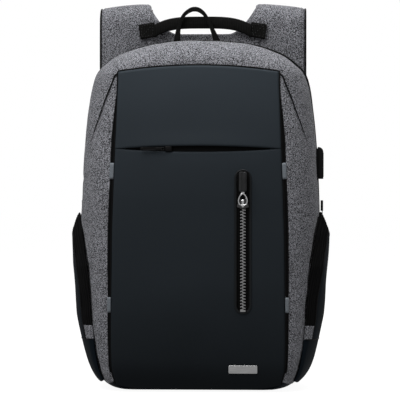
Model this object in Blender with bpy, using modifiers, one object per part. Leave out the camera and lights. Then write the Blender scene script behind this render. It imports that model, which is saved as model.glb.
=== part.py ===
"""Laptop backpack with a USB charge port, as separate sewn and moulded pieces.

Metres, +Z up. The front panel faces -Y and the straps are at +Y. The origin is on the floor, below the bag.
The fabric body is one smooth surface, around(q) on an outline and v from its rear edge to its front rim, and
most soft pieces are sheets that follow it at their own height.
"""

import math

import bmesh
import bpy
import numpy as np
from mathutils import Matrix, Vector

# Driving dimensions
BODY_HEIGHT = 0.452
BODY_HALF_WIDTH = 0.1545
REAR_Y = 0.0610
SHELL_REAR_Y = 0.0500
CORNER_Y = -0.005
FRONT_Y = -0.078
STRAP_TOP = 0.507
PANEL_REAR_Y = 0.0620

# Sheet thicknesses, and the gap that touching pieces keep
PADDED = 0.0040
COATED = 0.0025
THIN = 0.0012
GAP = 0.0004

# Half outlines (x, z) from the bottom centre to the top centre: the widest section, and the front rim.
BODY_OUTLINE = [
    (0.0, 0.0),
    (0.060, 0.0),
    (0.098, 0.0),
    (0.120, 0.006),
    (0.1335, 0.022),
    (0.142, 0.055),
    (0.149, 0.115),
    (BODY_HALF_WIDTH, 0.205),
    (0.152, 0.293),
    (0.146, 0.362),
    (0.137, 0.404),
    (0.123, 0.4215),
    (0.100, 0.4365),
    (0.060, 0.448),
    (0.0, BODY_HEIGHT),
]
RIM_OUTLINE = [
    (0.0, 0.003),
    (0.055, 0.003),
    (0.092, 0.004),
    (0.106, 0.012),
    (0.1105, 0.028),
    (0.1115, 0.058),
    (0.1112, 0.115),
    (0.110, 0.203),
    (0.107, 0.290),
    (0.1045, 0.357),
    (0.1032, 0.395),
    (0.1015, 0.4075),
    (0.083, 0.4115),
    (0.050, 0.4155),
    (0.0, 0.418),
]
BASE_END = 0.222  # outline fraction where the base panel meets the shell

# Front panel
PANEL_CROWN = 0.005
SLIT_Z = 0.311
SLIT_HALF_HEIGHT = 0.0042
SLIT_HALF_LENGTH = 0.095
ZIP_X = 0.0575
ZIP_LOW = 0.1005
ZIP_HIGH = 0.285
RIM_WIDTH = 0.022
SLOT_WIDTH = 0.0165
PLATE_SIZE = (0.0367, 0.0107)
PLATE_Z = 0.030

PULLER_LENGTH = 0.0345

# Reflective tabs over the strips beside the panel
TAB_LOWS = (("upper", 0.2775), ("lower", 0.1010))
TAB_HEIGHT = 0.021

# Side pockets
POCKET_REAR_Y = 0.040
POCKET_FRONT_V = [(0.0, 0.780), (0.040, 0.770), (0.100, 0.758), (0.160, 0.735), (0.200, 0.660), (0.224, 0.560)]
POCKET_BULGE = 0.0125
POCKET_STANDOFF = 0.0042
POCKET_LOW = 0.012
POCKET_HIGH = 0.2235
POCKET_MOUTH_DIP = 0.026
SEAM_AT_MOUTH = 0.694
PATCH_LOW = 0.066
PATCH_HIGH = 0.084

# USB port housing
PORT_Z = (0.2720, 0.3140)
PORT_Y = (0.009, 0.031)
PORT_PROUD = 0.0090
SOCKET_SIZE = (0.0068, 0.0140, 0.0140)
SOCKET_CAVITY = (0.0050, 0.0124, 0.0120)

# Back and carrying parts
BACK_THICKNESS = 0.012
YOKE_HALF = 0.0695
YOKE_LOW = 0.392
YOKE_DIP = 0.4665  # height of the scooped top edge at the middle
YOKE_FLAT = 0.034  # half width of the flat part of the scoop
YOKE_WING = 0.031  # rise of the scoop up to the straps
YOKE_THICKNESS = 0.010
YOKE_RELIEF = 0.0027  # how far the top half stands back, so the handle can swing
STRAP_X = 0.1045
STRAP_WIDTH = 0.067
STRAP_THICKNESS = 0.012
STRAP_BEND = 0.0195  # radius of the turn over the top
WEBBING_WIDTH = 0.025
WEBBING_THICKNESS = 0.0018
HANDLE_PIVOT = (0.0703, 0.471)
PATCH_Y = 0.0722
LOOP_PIVOT = (0.0640, 0.4545)
LOOP_X = -0.009
HINGE_Z = 0.016

SIDES = (("left", -1), ("right", 1))

# name: colour, roughness, metallic
FINISHES = {
    "grey_melange": ((0.19, 0.19, 0.21), 0.9, 0.0),
    "navy_coated": ((0.016, 0.024, 0.032), 0.6, 0.0),
    "black_stretch": ((0.010, 0.010, 0.011), 0.85, 0.0),
    "black_webbing": ((0.009, 0.009, 0.009), 0.8, 0.0),
    "black_mesh": ((0.014, 0.014, 0.015), 0.9, 0.0),
    "lining": ((0.06, 0.06, 0.065), 0.8, 0.0),
    "reflective_tape": ((0.20, 0.22, 0.24), 0.4, 0.0),
    "black_plastic": ((0.008, 0.008, 0.008), 0.45, 0.0),
    "gunmetal": ((0.20, 0.20, 0.21), 0.35, 1.0),
    "silver_metal": ((0.55, 0.55, 0.56), 0.25, 1.0),
}


def reset_scene():
    for obj in list(bpy.data.objects):
        bpy.data.objects.remove(obj, do_unlink=True)


def collection(name):
    made = bpy.data.collections.new(name)
    bpy.context.scene.collection.children.link(made)
    return made


reset_scene()
PARTS = collection("usb_backpack")
CUTTERS = collection("cutters")
CUTTERS.hide_render = True


def finish(obj, slot):
    """Its own Principled material, in the slot's colour."""
    color, roughness, metallic = FINISHES[slot]
    material = bpy.data.materials.new(obj.name)
    material.use_nodes = True
    shader = material.node_tree.nodes["Principled BSDF"]
    shader.inputs["Base Color"].default_value = (*color, 1.0)
    shader.inputs["Roughness"].default_value = roughness
    shader.inputs["Metallic"].default_value = metallic
    obj.data.materials.clear()
    obj.data.materials.append(material)


def part(name, data, slot):
    obj = bpy.data.objects.new(name, data)
    PARTS.objects.link(obj)
    finish(obj, slot)
    return obj


def set_origin(obj, point):
    """Moves a mesh piece's origin to a point on its joint's axis; the piece itself stays where it is."""
    shift = Matrix.Translation(point)
    obj.data.transform(shift.inverted() @ obj.matrix_world)
    obj.matrix_world = shift


# ---------------------------------------------------------------- surfaces


def half_outline(keys, a):
    """Point at fraction a of a half outline: a Catmull-Rom curve through its keys, mirrored past both ends."""
    last = len(keys) - 1
    position = min(max(a, 0.0), 1.0) * last
    i = min(int(position), last - 1)
    t = position - i

    def key(k):
        if 0 <= k <= last:
            return np.array(keys[k])
        x, z = keys[-k] if k < 0 else keys[2 * last - k]
        return np.array((-x, z))

    before, start, end, after = (key(k) for k in range(i - 1, i + 3))
    bend = 2 * before - 5 * start + 4 * end - after
    twist = 3 * start - before - 3 * end + after
    x, z = 0.5 * (2 * start + (end - before) * t + bend * t**2 + twist * t**3)
    return x, max(z, keys[0][1])


def around(keys, q):
    """The whole outline: q is 0 at the bottom centre, 1 at the top centre, and above 1 on the left side."""
    q %= 2.0
    x, z = half_outline(keys, q if q <= 1 else 2 - q)
    return (x if q <= 1 else -x), z


def front_y(z):
    lean = 0.016 * (max(z - 0.245, 0.0) / 0.17) ** 1.5
    tuck = 0.012 * (max(0.04 - z, 0.0) / 0.04) ** 2
    return FRONT_Y + lean + tuck


def body(q, v):
    """Body surface: v runs along the depth to CORNER_Y at 0.5, then rounds over to the front rim at 1."""
    wide_x, wide_z = around(BODY_OUTLINE, q)
    if v <= 0.5:
        return Vector((wide_x, REAR_Y + (CORNER_Y - REAR_Y) * 2 * v, wide_z))
    rim_x, rim_z = around(RIM_OUTLINE, q)
    turn = (v - 0.5) * math.pi
    inward = 1 - math.cos(turn)
    return Vector(
        (
            wide_x + (rim_x - wide_x) * inward,
            CORNER_Y + (front_y(rim_z) - CORNER_Y) * math.sin(turn),
            wide_z + (rim_z - wide_z) * inward,
        )
    )


def body_offset(q, v, height):
    """A point that stands this far off the body surface."""
    step = 0.002
    across = body(q + step, v) - body(q - step, v)
    along = body(q, min(v + step, 1.0)) - body(q, max(v - step, 0.0))
    return body(q, v) + across.cross(along).normalized() * height


def v_at(y):
    return 0.5 * (REAR_Y - y) / (REAR_Y - CORNER_Y)


SAMPLES = [i / 400 for i in range(401)]
SAMPLE_HEIGHTS = [half_outline(BODY_OUTLINE, a)[1] for a in SAMPLES]


def q_at(z, side):
    """Outline parameter at height z on the right (side 1) or left (side -1)."""
    a = float(np.interp(z, SAMPLE_HEIGHTS, SAMPLES))
    return a if side > 0 else 2 - a


def rim_half_width(z):
    side = RIM_OUTLINE[3:11]
    return float(np.interp(z, [key[1] for key in side], [key[0] for key in side]))


def span(low, high, count):
    return [low + (high - low) * i / count for i in range(count + 1)]


def sheet(name, rows, thickness, slot):
    """A grid of points made into an open surface facing away from the bag's middle, then solidified inwards."""
    columns = len(rows[0])
    points = [point for row in rows for point in row]
    faces = [
        (i * columns + j, (i + 1) * columns + j, (i + 1) * columns + j + 1, i * columns + j + 1)
        for i in range(len(rows) - 1)
        for j in range(columns - 1)
    ]
    mesh = bpy.data.meshes.new(name)
    mesh.from_pydata(points, [], faces)
    middle = Vector((0.0, 0.0, BODY_HEIGHT / 2))
    facing = sum(face.normal.dot(face.center - middle) * face.area for face in mesh.polygons)
    if facing < 0:
        mesh.flip_normals()
    mesh.shade_smooth()
    obj = part(name, mesh, slot)
    solid = obj.modifiers.new("thickness", "SOLIDIFY")
    solid.thickness = thickness
    solid.offset = -1
    solid.use_even_offset = True
    return obj


# ---------------------------------------------------------------- simple solids


def block(name, size, centre, bevel, slot, into=None):
    """A box with rounded edges."""
    mesh = bpy.data.meshes.new(name)
    cage = bmesh.new()
    bmesh.ops.create_cube(cage, size=1.0)
    bmesh.ops.scale(cage, vec=size, verts=cage.verts)
    cage.to_mesh(mesh)
    cage.free()
    if into is None:
        obj = part(name, mesh, slot)
    else:
        obj = bpy.data.objects.new(name, mesh)
        into.objects.link(obj)
        obj.hide_render = True
        obj.display_type = "WIRE"
    obj.location = centre
    if bevel:
        rounding = obj.modifiers.new("edges", "BEVEL")
        rounding.width = bevel
        rounding.segments = 2
    return obj


def cut(obj, cutter):
    boolean = obj.modifiers.new(cutter.name, "BOOLEAN")
    boolean.object = cutter
    boolean.operation = "DIFFERENCE"


def flat_curve(name, outlines, thickness):
    """A filled 2D curve of closed outlines, any inner ones being holes, extruded to this thickness."""
    curve = bpy.data.curves.new(name, "CURVE")
    curve.dimensions = "2D"
    curve.fill_mode = "BOTH"
    curve.extrude = thickness / 2
    for outline in outlines:
        spline = curve.splines.new("POLY")
        spline.points.add(len(outline) - 1)
        for point, (x, y) in zip(spline.points, outline):
            point.co = (x, y, 0.0, 1.0)
        spline.use_cyclic_u = True
    return curve


def as_mesh(obj):
    """The object's evaluated curve as a welded mesh object in its place."""
    bpy.context.view_layer.update()
    evaluated = obj.evaluated_get(bpy.context.evaluated_depsgraph_get())
    mesh = bpy.data.meshes.new_from_object(evaluated)
    weld = bmesh.new()
    weld.from_mesh(mesh)
    bmesh.ops.remove_doubles(weld, verts=weld.verts, dist=1e-6)
    weld.to_mesh(mesh)
    weld.free()
    name, place = obj.name, obj.matrix_world.copy()
    material = obj.data.materials[0]
    bpy.data.objects.remove(obj, do_unlink=True)
    made = bpy.data.objects.new(name, mesh)
    PARTS.objects.link(made)
    made.matrix_world = place
    made.data.materials.clear()
    made.data.materials.append(material)
    return made


def plate_xz(name, outlines, thickness, y, slot, tilt=0.0, height=0.0):
    """A flat piece that faces the front, its middle plane at y; outlines are (x, z - height)."""
    obj = part(name, flat_curve(name, outlines, thickness), slot)
    obj.location = (0.0, y, height)
    obj.rotation_euler = (math.pi / 2 + tilt, 0.0, 0.0)
    return obj


def plate_yz(name, outlines, thickness, x, slot):
    """A flat piece that faces sideways, its middle plane at x; outlines are (y, z)."""
    obj = part(name, flat_curve(name, outlines, thickness), slot)
    obj.location = (x, 0.0, 0.0)
    obj.rotation_euler = (math.pi / 2, 0.0, math.pi / 2)
    return obj


def rounded(width, height, radius, centre=(0.0, 0.0), steps=4):
    """Rectangle outline with round corners."""
    points = []
    for corner in range(4):
        angle = corner * math.pi / 2
        right = 1 if corner in (0, 3) else -1
        up = 1 if corner in (0, 1) else -1
        cx = centre[0] + right * (width / 2 - radius)
        cy = centre[1] + up * (height / 2 - radius)
        for k in range(steps + 1):
            turn = angle + k * math.pi / 2 / steps
            points.append((cx + radius * math.cos(turn), cy + radius * math.sin(turn)))
    return points


def tube(name, points, radius, slot, cyclic=False):
    curve = bpy.data.curves.new(name, "CURVE")
    curve.dimensions = "3D"
    curve.bevel_depth = radius
    curve.bevel_resolution = 1
    curve.use_fill_caps = True
    spline = curve.splines.new("POLY")
    spline.points.add(len(points) - 1)
    for point, place in zip(spline.points, points):
        point.co = (*place, 1.0)
    spline.use_cyclic_u = cyclic
    return part(name, curve, slot)


def ribbon(name, centres, widths, thickness, slot):
    """A flat band with its width along X, lofted along a path whose width may change."""
    corners = []
    for i, centre in enumerate(centres):
        centre = Vector(centre)
        back = Vector(centres[max(i - 1, 0)])
        ahead = Vector(centres[min(i + 1, len(centres) - 1)])
        run = ahead - back
        normal = Vector((0.0, -run.z, run.y)).normalized() * thickness / 2
        half = Vector((widths[i] / 2, 0.0, 0.0))
        corners += [centre - half - normal, centre + half - normal, centre + half + normal, centre - half + normal]
    faces = [(3, 2, 1, 0), tuple(len(corners) - 4 + k for k in range(4))]
    for i in range(len(centres) - 1):
        for k in range(4):
            a, b = 4 * i + k, 4 * i + (k + 1) % 4
            faces.append((a, b, b + 4, a + 4))
    mesh = bpy.data.meshes.new(name)
    mesh.from_pydata(corners, [], faces)
    cage = bmesh.new()
    cage.from_mesh(mesh)
    bmesh.ops.recalc_face_normals(cage, faces=cage.faces)
    cage.to_mesh(mesh)
    cage.free()
    return part(name, mesh, slot)


# ---------------------------------------------------------------- body


def make_shell():
    arch = span(BASE_END, 2 - BASE_END, 46)
    depth = [v_at(SHELL_REAR_Y), 0.25] + span(0.5, 1.0, 7)
    sheet("main_shell", [[body(q, v) for v in depth] for q in arch], PADDED, "grey_melange")
    inset = BASE_END - 0.006
    depth = [0.0, 0.25] + span(0.5, 1.0, 7)
    sheet("base_panel", [[body(q, v) for v in depth] for q in span(-inset, inset, 14)], PADDED, "navy_coated")
    tape = [v_at(REAR_Y), v_at(SHELL_REAR_Y + GAP)]
    arch = span(BASE_END, 2 - BASE_END, 46)
    sheet("main_zip_tape", [[body(q, v) for v in tape] for q in arch], THIN, "black_webbing")
    piping = [body_offset(q, v_at(SHELL_REAR_Y), 0.0018) for q in span(0.26, 1.74, 44)]
    tube("rear_piping", piping, 0.0013, "black_webbing")


def make_gusset_strips():
    """Black strips beside the front panel, and the reflective tabs sewn over them."""
    for side_name, side in SIDES:
        heights = span(0.022, 0.384, 16)
        rows = [
            [body_offset(q_at(z, side), v, 0.0013) for v in (0.963, 0.980, 0.998)]
            for z in heights
        ]
        sheet(f"panel_gusset_{side_name}", rows, 0.0009, "black_stretch")
        for tab, low in TAB_LOWS:
            rows = [
                [body_offset(q_at(z, side), v, 0.0025) for v in (0.964, 0.980, 0.997)]
                for z in (low, low + TAB_HEIGHT / 2, low + TAB_HEIGHT)
            ]
            sheet(f"reflective_tab_{tab}_{side_name}", rows, 0.0008, "reflective_tape")


def panel_point(s, z, height=0.0):
    """Outer surface of the front panel at s, -1 to 1 across, or that far above it."""
    middle = (z - 0.21) / 0.21
    crown = PANEL_CROWN * (1 - s**2) * (1 - min(abs(middle), 1.0) ** 4)
    return Vector((s * rim_half_width(z), front_y(z) - GAP - COATED - crown - height, z))


def panel_y(x, z):
    return panel_point(x / rim_half_width(z), z).y


def slit_half(s):
    """Half height of the lens-shaped slit across the panel."""
    reach = abs(s) * rim_half_width(SLIT_Z) / SLIT_HALF_LENGTH
    return 0.0004 + SLIT_HALF_HEIGHT * max(1 - reach**2, 0.0)


def make_front_panel():
    across = span(-1.0, 1.0, 12)

    def rows(low, high, count):
        return [[panel_point(s, low(s) + (high(s) - low(s)) * k / count) for k in range(count + 1)] for s in across]

    def bottom(s):
        return 0.004 + 0.006 * abs(s) ** 6

    def top(s):
        return 0.418 - 0.008 * s**2

    upper = rows(lambda s: SLIT_Z + slit_half(s), top, 6)
    lower = rows(bottom, lambda s: SLIT_Z - slit_half(s), 14)
    sheet("front_panel_upper", upper, COATED, "navy_coated")
    panel = sheet("front_panel_lower", lower, COATED, "navy_coated")
    slot = block(
        "zip_slot_cutter",
        (SLOT_WIDTH, 0.03, ZIP_HIGH - ZIP_LOW - 0.006),
        (ZIP_X, FRONT_Y, (ZIP_LOW + ZIP_HIGH) / 2),
        None,
        None,
        CUTTERS,
    )
    cut(panel, slot)
    lining = [
        [Vector((s * 0.096, front_y(z) + 0.0125, z)) for z in span(0.022, 0.396, 8)] for s in span(-1.0, 1.0, 2)
    ]
    sheet("front_pocket_lining", lining, THIN, "lining")


def make_front_zip():
    """Vertical pocket zip: moulded rim on the panel, tape in the slot, tooth chain, slider and puller."""
    middle = (ZIP_LOW + ZIP_HIGH) / 2
    length = ZIP_HIGH - ZIP_LOW
    face = panel_y(ZIP_X, middle)
    outer = rounded(RIM_WIDTH, length, RIM_WIDTH / 2 - 0.0002, (ZIP_X, 0.0), 6)
    inner = rounded(SLOT_WIDTH, length - 0.006, SLOT_WIDTH / 2 - 0.0002, (ZIP_X, 0.0), 6)
    plate_xz("front_zip_rim", [outer, inner], 0.0012, face - 0.0014, "black_plastic", height=middle)
    tape = rounded(SLOT_WIDTH - 0.0008, length - 0.0070, 0.002, (ZIP_X, 0.0), 2)
    plate_xz("front_zip_tape", [tape], 0.0012, face + 0.0006, "black_webbing", height=middle)
    chain_low, chain_high, pitch = ZIP_LOW + 0.006, ZIP_HIGH - 0.052, 0.0036
    teeth = int((chain_high - chain_low) / pitch)
    left, right = [], []
    for k in range(teeth):
        z = chain_low + k * pitch - middle
        for step, half in ((0.0, 0.0026), (0.4, 0.0035), (0.8, 0.0035)):
            right.append((ZIP_X + half, z + step * pitch))
            left.append((ZIP_X - half, z + step * pitch))
    plate_xz("front_zip_teeth", [right + left[::-1]], 0.0016, face - 0.0012, "gunmetal", height=middle)
    slider_z = chain_high + 0.0085
    block("front_zip_slider", (0.0105, 0.0034, 0.0125), (ZIP_X, face - 0.0041, slider_z), 0.0010, "silver_metal")
    bar_low = slider_z + 0.0056
    bar_y = face - 0.0071
    bar = rounded(0.0098, PULLER_LENGTH, 0.0044, (ZIP_X, PULLER_LENGTH / 2), 4)
    eye = rounded(0.0044, 0.0040, 0.0018, (ZIP_X, 0.0042), 3)
    puller = as_mesh(plate_xz("front_zip_puller", [bar, eye], 0.0020, bar_y, "black_plastic", height=bar_low))
    set_origin(puller, (ZIP_X, bar_y, bar_low + 0.0020))


def make_slit_zip():
    """Horizontal pocket zip behind the slit, with its slider and flat puller parked to the left."""
    rows = [
        [Vector((x, panel_y(x, SLIT_Z + z) + COATED + 0.0008, SLIT_Z + z)) for z in (-0.010, 0.0, 0.010)]
        for x in span(-0.092, 0.092, 10)
    ]
    sheet("slit_zip_tape", rows, THIN, "black_webbing")
    face = panel_y(-0.036, SLIT_Z)
    block("slit_zip_slider", (0.0085, 0.0032, 0.0068), (-0.0375, face + 0.0004, SLIT_Z), 0.0008, "black_plastic")
    puller = rounded(0.030, 0.0060, 0.0026, (-0.0580, 0.0), 3)
    eye = rounded(0.0040, 0.0026, 0.0011, (-0.0462, 0.0), 2)
    puller_y = face - 0.0024
    puller = as_mesh(plate_xz("slit_zip_puller", [puller, eye], 0.0016, puller_y, "black_webbing", height=SLIT_Z))
    set_origin(puller, (-0.0440, puller_y, SLIT_Z))


def make_name_plate():
    face = panel_y(ZIP_X, PLATE_Z)
    lean = math.atan2(panel_y(ZIP_X, PLATE_Z + 0.005) - panel_y(ZIP_X, PLATE_Z - 0.005), 0.010)
    outline = rounded(*PLATE_SIZE, 0.0012, (ZIP_X, 0.0), 2)
    plate_xz("name_plate", [outline], 0.0008, face - 0.0012, "silver_metal", tilt=-lean, height=PLATE_Z)


# ---------------------------------------------------------------- side pockets


def pocket_point(side, u, z, extra=0.0):
    """Outer surface of a side pocket: u is 0 at its rear seam and 1 at its front seam."""
    rear = v_at(POCKET_REAR_Y)
    front = float(np.interp(z, *zip(*POCKET_FRONT_V)))
    v = rear + (front - rear) * u
    swell = POCKET_BULGE * min(max((z - 0.012) / 0.075, 0.0), 1.0) ** 0.7
    swell *= max(math.sin(math.pi * u), 0.0) ** 0.6
    return body_offset(q_at(z, side), v, POCKET_STANDOFF + swell + extra)


def mouth_z(u):
    return POCKET_HIGH - POCKET_MOUTH_DIP * math.sin(math.pi * u) ** 1.5


def pocket_seam(z):
    """Where the outer shell meets the stretch gusset: it runs forward to back towards the mouth."""
    return 0.80 - 0.14 * max((z - 0.10) / 0.12, 0.0) ** 2


def make_pocket(side_name, side):
    shell_rows, gusset_rows, patch_rows, foot_rows = [], [], [], []
    for w in span(0.0, 1.0, 10):
        row = []
        for k in span(0.0, 1.0, 8):
            z = PATCH_LOW + (mouth_z(k * SEAM_AT_MOUTH) - PATCH_LOW) * w
            row.append(pocket_point(side, k * (pocket_seam(z) - 0.006), z))
        shell_rows.append(row)
    for w in span(0.0, 1.0, 7):
        row = []
        for k in span(0.0, 1.0, 4):
            z = PATCH_HIGH + 0.0006 + (mouth_z(SEAM_AT_MOUTH + (1 - SEAM_AT_MOUTH) * k) - PATCH_HIGH - 0.0006) * w
            row.append(pocket_point(side, pocket_seam(z) + 0.006 + (0.994 - pocket_seam(z)) * k, z))
        gusset_rows.append(row)
    for z in span(PATCH_LOW + 0.0006, PATCH_HIGH, 2):
        patch_rows.append([pocket_point(side, 0.806 + 0.194 * k, z) for k in span(0.0, 1.0, 4)])
    for z in span(POCKET_LOW, PATCH_LOW - 0.0006, 4):
        foot_rows.append([pocket_point(side, u, z) for u in span(0.0, 1.0, 10)])
    sheet(f"pocket_shell_{side_name}", shell_rows, COATED, "navy_coated")
    sheet(f"pocket_gusset_{side_name}", gusset_rows, 0.0016, "black_stretch")
    sheet(f"pocket_patch_{side_name}", patch_rows, 0.0016, "grey_melange")
    sheet(f"pocket_foot_{side_name}", foot_rows, COATED, "navy_coated")
    hem = [
        pocket_point(side, u, mouth_z(u) + 0.0042, -0.0010) for u in span(0.02, 0.98, 14)
    ]
    tube(f"pocket_hem_{side_name}", hem, 0.0017, "black_webbing")


# ---------------------------------------------------------------- side fittings


def make_usb_port():
    """Housing proud of the right side, with the socket facing down out of its underside."""
    middle_y = sum(PORT_Y) / 2
    low, high = PORT_Z
    wall = body(q_at((low + high) / 2, 1), 0.25).x
    inner = body(q_at(low, 1), 0.25).x + GAP + 0.0002
    outer = wall + PORT_PROUD
    corner = 0.0065
    outline = [(inner, low), (outer, low)]
    for k in range(6):
        turn = k * math.pi / 2 / 5
        outline.append((outer - corner + corner * math.cos(turn), high - corner + corner * math.sin(turn)))
    outline.append((inner, high))
    housing = plate_xz("usb_housing", [outline], PORT_Y[1] - PORT_Y[0], middle_y, "black_plastic")
    housing = as_mesh(housing)
    middle_x = (inner + outer) / 2
    depth = SOCKET_SIZE[2]
    pit = block(
        "usb_pit_cutter",
        (SOCKET_SIZE[0] + 0.0008, SOCKET_SIZE[1] + 0.0008, 2 * (depth + 0.0008)),
        (middle_x, middle_y, low),
        None,
        None,
        CUTTERS,
    )
    cut(housing, pit)
    socket = block("usb_socket", SOCKET_SIZE, (middle_x, middle_y, low + 0.0004 + depth / 2), None, "silver_metal")
    cavity = block(
        "usb_cavity_cutter",
        (SOCKET_CAVITY[0], SOCKET_CAVITY[1], 2 * SOCKET_CAVITY[2]),
        (middle_x, middle_y, low + 0.0004),
        None,
        None,
        CUTTERS,
    )
    cut(socket, cavity)


def make_main_zip_runners():
    """Slider and puller on each side of the main zip, parked just above the side pockets."""
    for side_name, side in SIDES:
        z = 0.2195
        wall = body(q_at(z, 1), 0.0).x
        slider = block(
            f"main_zip_slider_{side_name}",
            (0.0034, 0.0078, 0.0100),
            (side * (wall + 0.0027), 0.0566, z),
            0.0008,
            "gunmetal",
        )
        slider.rotation_euler = (0.0, side * -0.03, 0.0)
        strip = rounded(0.0056, 0.0170, 0.0022, (0.0566, z + 0.0151), 3)
        eye = rounded(0.0026, 0.0030, 0.0012, (0.0566, z + 0.0093), 2)
        puller_x = side * (wall + 0.0058)
        puller = as_mesh(plate_yz(f"main_zip_puller_{side_name}", [strip, eye], 0.0016, puller_x, "black_webbing"))
        set_origin(puller, (puller_x, 0.0566, z + 0.0080))


# ---------------------------------------------------------------- back, straps and handle


def arch_outline(scale_x, low, drop):
    """The body's outline, narrowed, cut flat at its foot and lowered at its top."""
    points = []
    for q in span(q_at(low, 1), 2 - q_at(low, 1), 40):
        x, z = around(BODY_OUTLINE, q)
        points.append((x * scale_x, max(low, z - drop * z / BODY_HEIGHT)))
    return points


def yoke_top(x):
    """The yoke's scooped top edge: flat at the middle, running up beside the straps."""
    return YOKE_DIP + YOKE_WING * (max(abs(x) - YOKE_FLAT, 0.0) / (YOKE_HALF - YOKE_FLAT)) ** 1.8


def make_back():
    y = PANEL_REAR_Y + BACK_THICKNESS / 2
    plate_xz("back_panel", [arch_outline(0.985, HINGE_Z, 0.006)], BACK_THICKNESS, y, "black_mesh")
    rear = PANEL_REAR_Y + BACK_THICKNESS + GAP
    for side_name, side in SIDES:
        block(f"back_pad_{side_name}", (0.092, 0.0150, 0.330), (side * 0.060, rear + 0.0075, 0.222), 0.006, "black_mesh")
    outline = [(-YOKE_HALF, YOKE_LOW), (YOKE_HALF, YOKE_LOW)]
    outline += [(x, yoke_top(x)) for x in span(YOKE_HALF, -YOKE_HALF, 18)]
    yoke_y = rear + 0.0002 + YOKE_THICKNESS / 2
    yoke = as_mesh(plate_xz("yoke", [outline], YOKE_THICKNESS, yoke_y, "grey_melange"))
    front = yoke_y - YOKE_THICKNESS / 2
    size = (2 * YOKE_HALF + 0.010, 2 * YOKE_RELIEF, 0.080)
    cut(yoke, block("yoke_relief_cutter", size, (0.0, front, 0.455 + size[2] / 2), None, None, CUTTERS))


def strap_path(side):
    """Centre line of a shoulder strap, from the yoke up, over and down behind the back pads."""
    near = PANEL_REAR_Y + BACK_THICKNESS + GAP + STRAP_THICKNESS / 2
    bend = STRAP_BEND
    top = STRAP_TOP - STRAP_THICKNESS / 2 - bend
    path = [(STRAP_X, near, YOKE_LOW), (STRAP_X, near, 0.430), (STRAP_X, near, top)]
    for k in range(1, 8):
        turn = math.pi * k / 8
        path.append((STRAP_X, near + bend * (1 - math.cos(turn)), top + bend * math.sin(turn)))
    path += [
        (STRAP_X, near + 2 * bend, top),
        (STRAP_X - 0.003, 0.1165, 0.425),
        (STRAP_X - 0.006, 0.1120, 0.370),
        (STRAP_X - 0.007, 0.1085, 0.300),
        (STRAP_X - 0.003, 0.1060, 0.230),
        (STRAP_X + 0.003, 0.1050, 0.165),
        (STRAP_X + 0.006, 0.1045, 0.135),
    ]
    return [(side * x, y, z) for x, y, z in path]


def make_straps():
    widths = [STRAP_WIDTH] * 12 + [0.066, 0.064, 0.060, 0.054, 0.044]
    for side_name, side in SIDES:
        path = strap_path(side)
        ribbon(f"shoulder_strap_{side_name}", path, widths[: len(path)], STRAP_THICKNESS, "grey_melange")
        x, y, z = path[-1]
        lock_z = z - 0.0135
        frame = rounded(0.033, 0.023, 0.003, (x, 0.0), 3)
        slots = [rounded(0.0262, 0.0042, 0.0008, (x, dz), 1) for dz in (-0.0062, 0.0002, 0.0066)]
        lock_name = f"ladder_lock_{side_name}"
        lock = as_mesh(plate_xz(lock_name, [frame, *slots], 0.0040, y - 0.0020, "black_plastic", height=lock_z))
        set_origin(lock, (0.0, y - 0.0020, lock_z + 0.0095))
        webbing = [(x, y - 0.0063, lock_z + 0.011), (x, 0.0970, 0.094), (x + side * 0.004, 0.0900, 0.062)]
        webbing.append((x + side * 0.008, 0.0830, 0.040))
        ribbon(f"strap_webbing_{side_name}", webbing, [WEBBING_WIDTH] * 4, WEBBING_THICKNESS, "black_webbing")
        tab = [(-0.014, 0.0), (0.014, 0.0), (0.018, -0.019), (-0.018, -0.019)]
        tab = [(x + side * 0.008 + dx, dz) for dx, dz in tab]
        plate_xz(f"strap_anchor_{side_name}", [tab], 0.0030, 0.0762, "black_webbing", height=0.0392)


def make_handle():
    """Webbing carry handle between the straps, with an end patch sewn on the front of each strap."""
    y, pivot = HANDLE_PIVOT
    half = 0.0630
    arch = span(-half, half, 12)

    def rise(x):
        return 0.0105 * (1 - (abs(x) / half) ** 3.2)

    upper = [(x, 0.0085 + rise(x)) for x in arch]
    lower = [(x, -0.0085 + rise(x) * 1.05) for x in reversed(arch)]
    handle = as_mesh(plate_xz("carry_handle", [upper + lower], 0.0050, y, "black_webbing", height=pivot))
    set_origin(handle, (0.0, y, pivot))
    for side_name, side in SIDES:
        patch = rounded(0.0200, 0.0200, 0.0015, (side * 0.0745, 0.0), 2)
        plate_xz(f"handle_patch_{side_name}", [patch], 0.0038, PATCH_Y, "black_webbing", height=pivot)


def make_hang_loop():
    y, pivot = LOOP_PIVOT
    outer = [(-0.031, -0.0030), (-0.0225, 0.0289), (-0.0135, 0.0440), (-0.006, 0.0478), (0.003, 0.0478)]
    outer += [(0.0115, 0.0440), (0.0205, 0.0289), (0.0315, -0.0030)]
    inner = [(0.0210, -0.0030), (0.0125, 0.0243), (0.0065, 0.0370), (0.0, 0.0410), (-0.004, 0.0410)]
    inner += [(-0.0090, 0.0370), (-0.0150, 0.0243), (-0.0205, -0.0030)]
    outline = [(LOOP_X + x, z) for x, z in outer + inner]
    loop = as_mesh(plate_xz("hang_loop", [outline], 0.0024, y, "black_webbing", height=pivot))
    set_origin(loop, (0.0, y, pivot))


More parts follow.
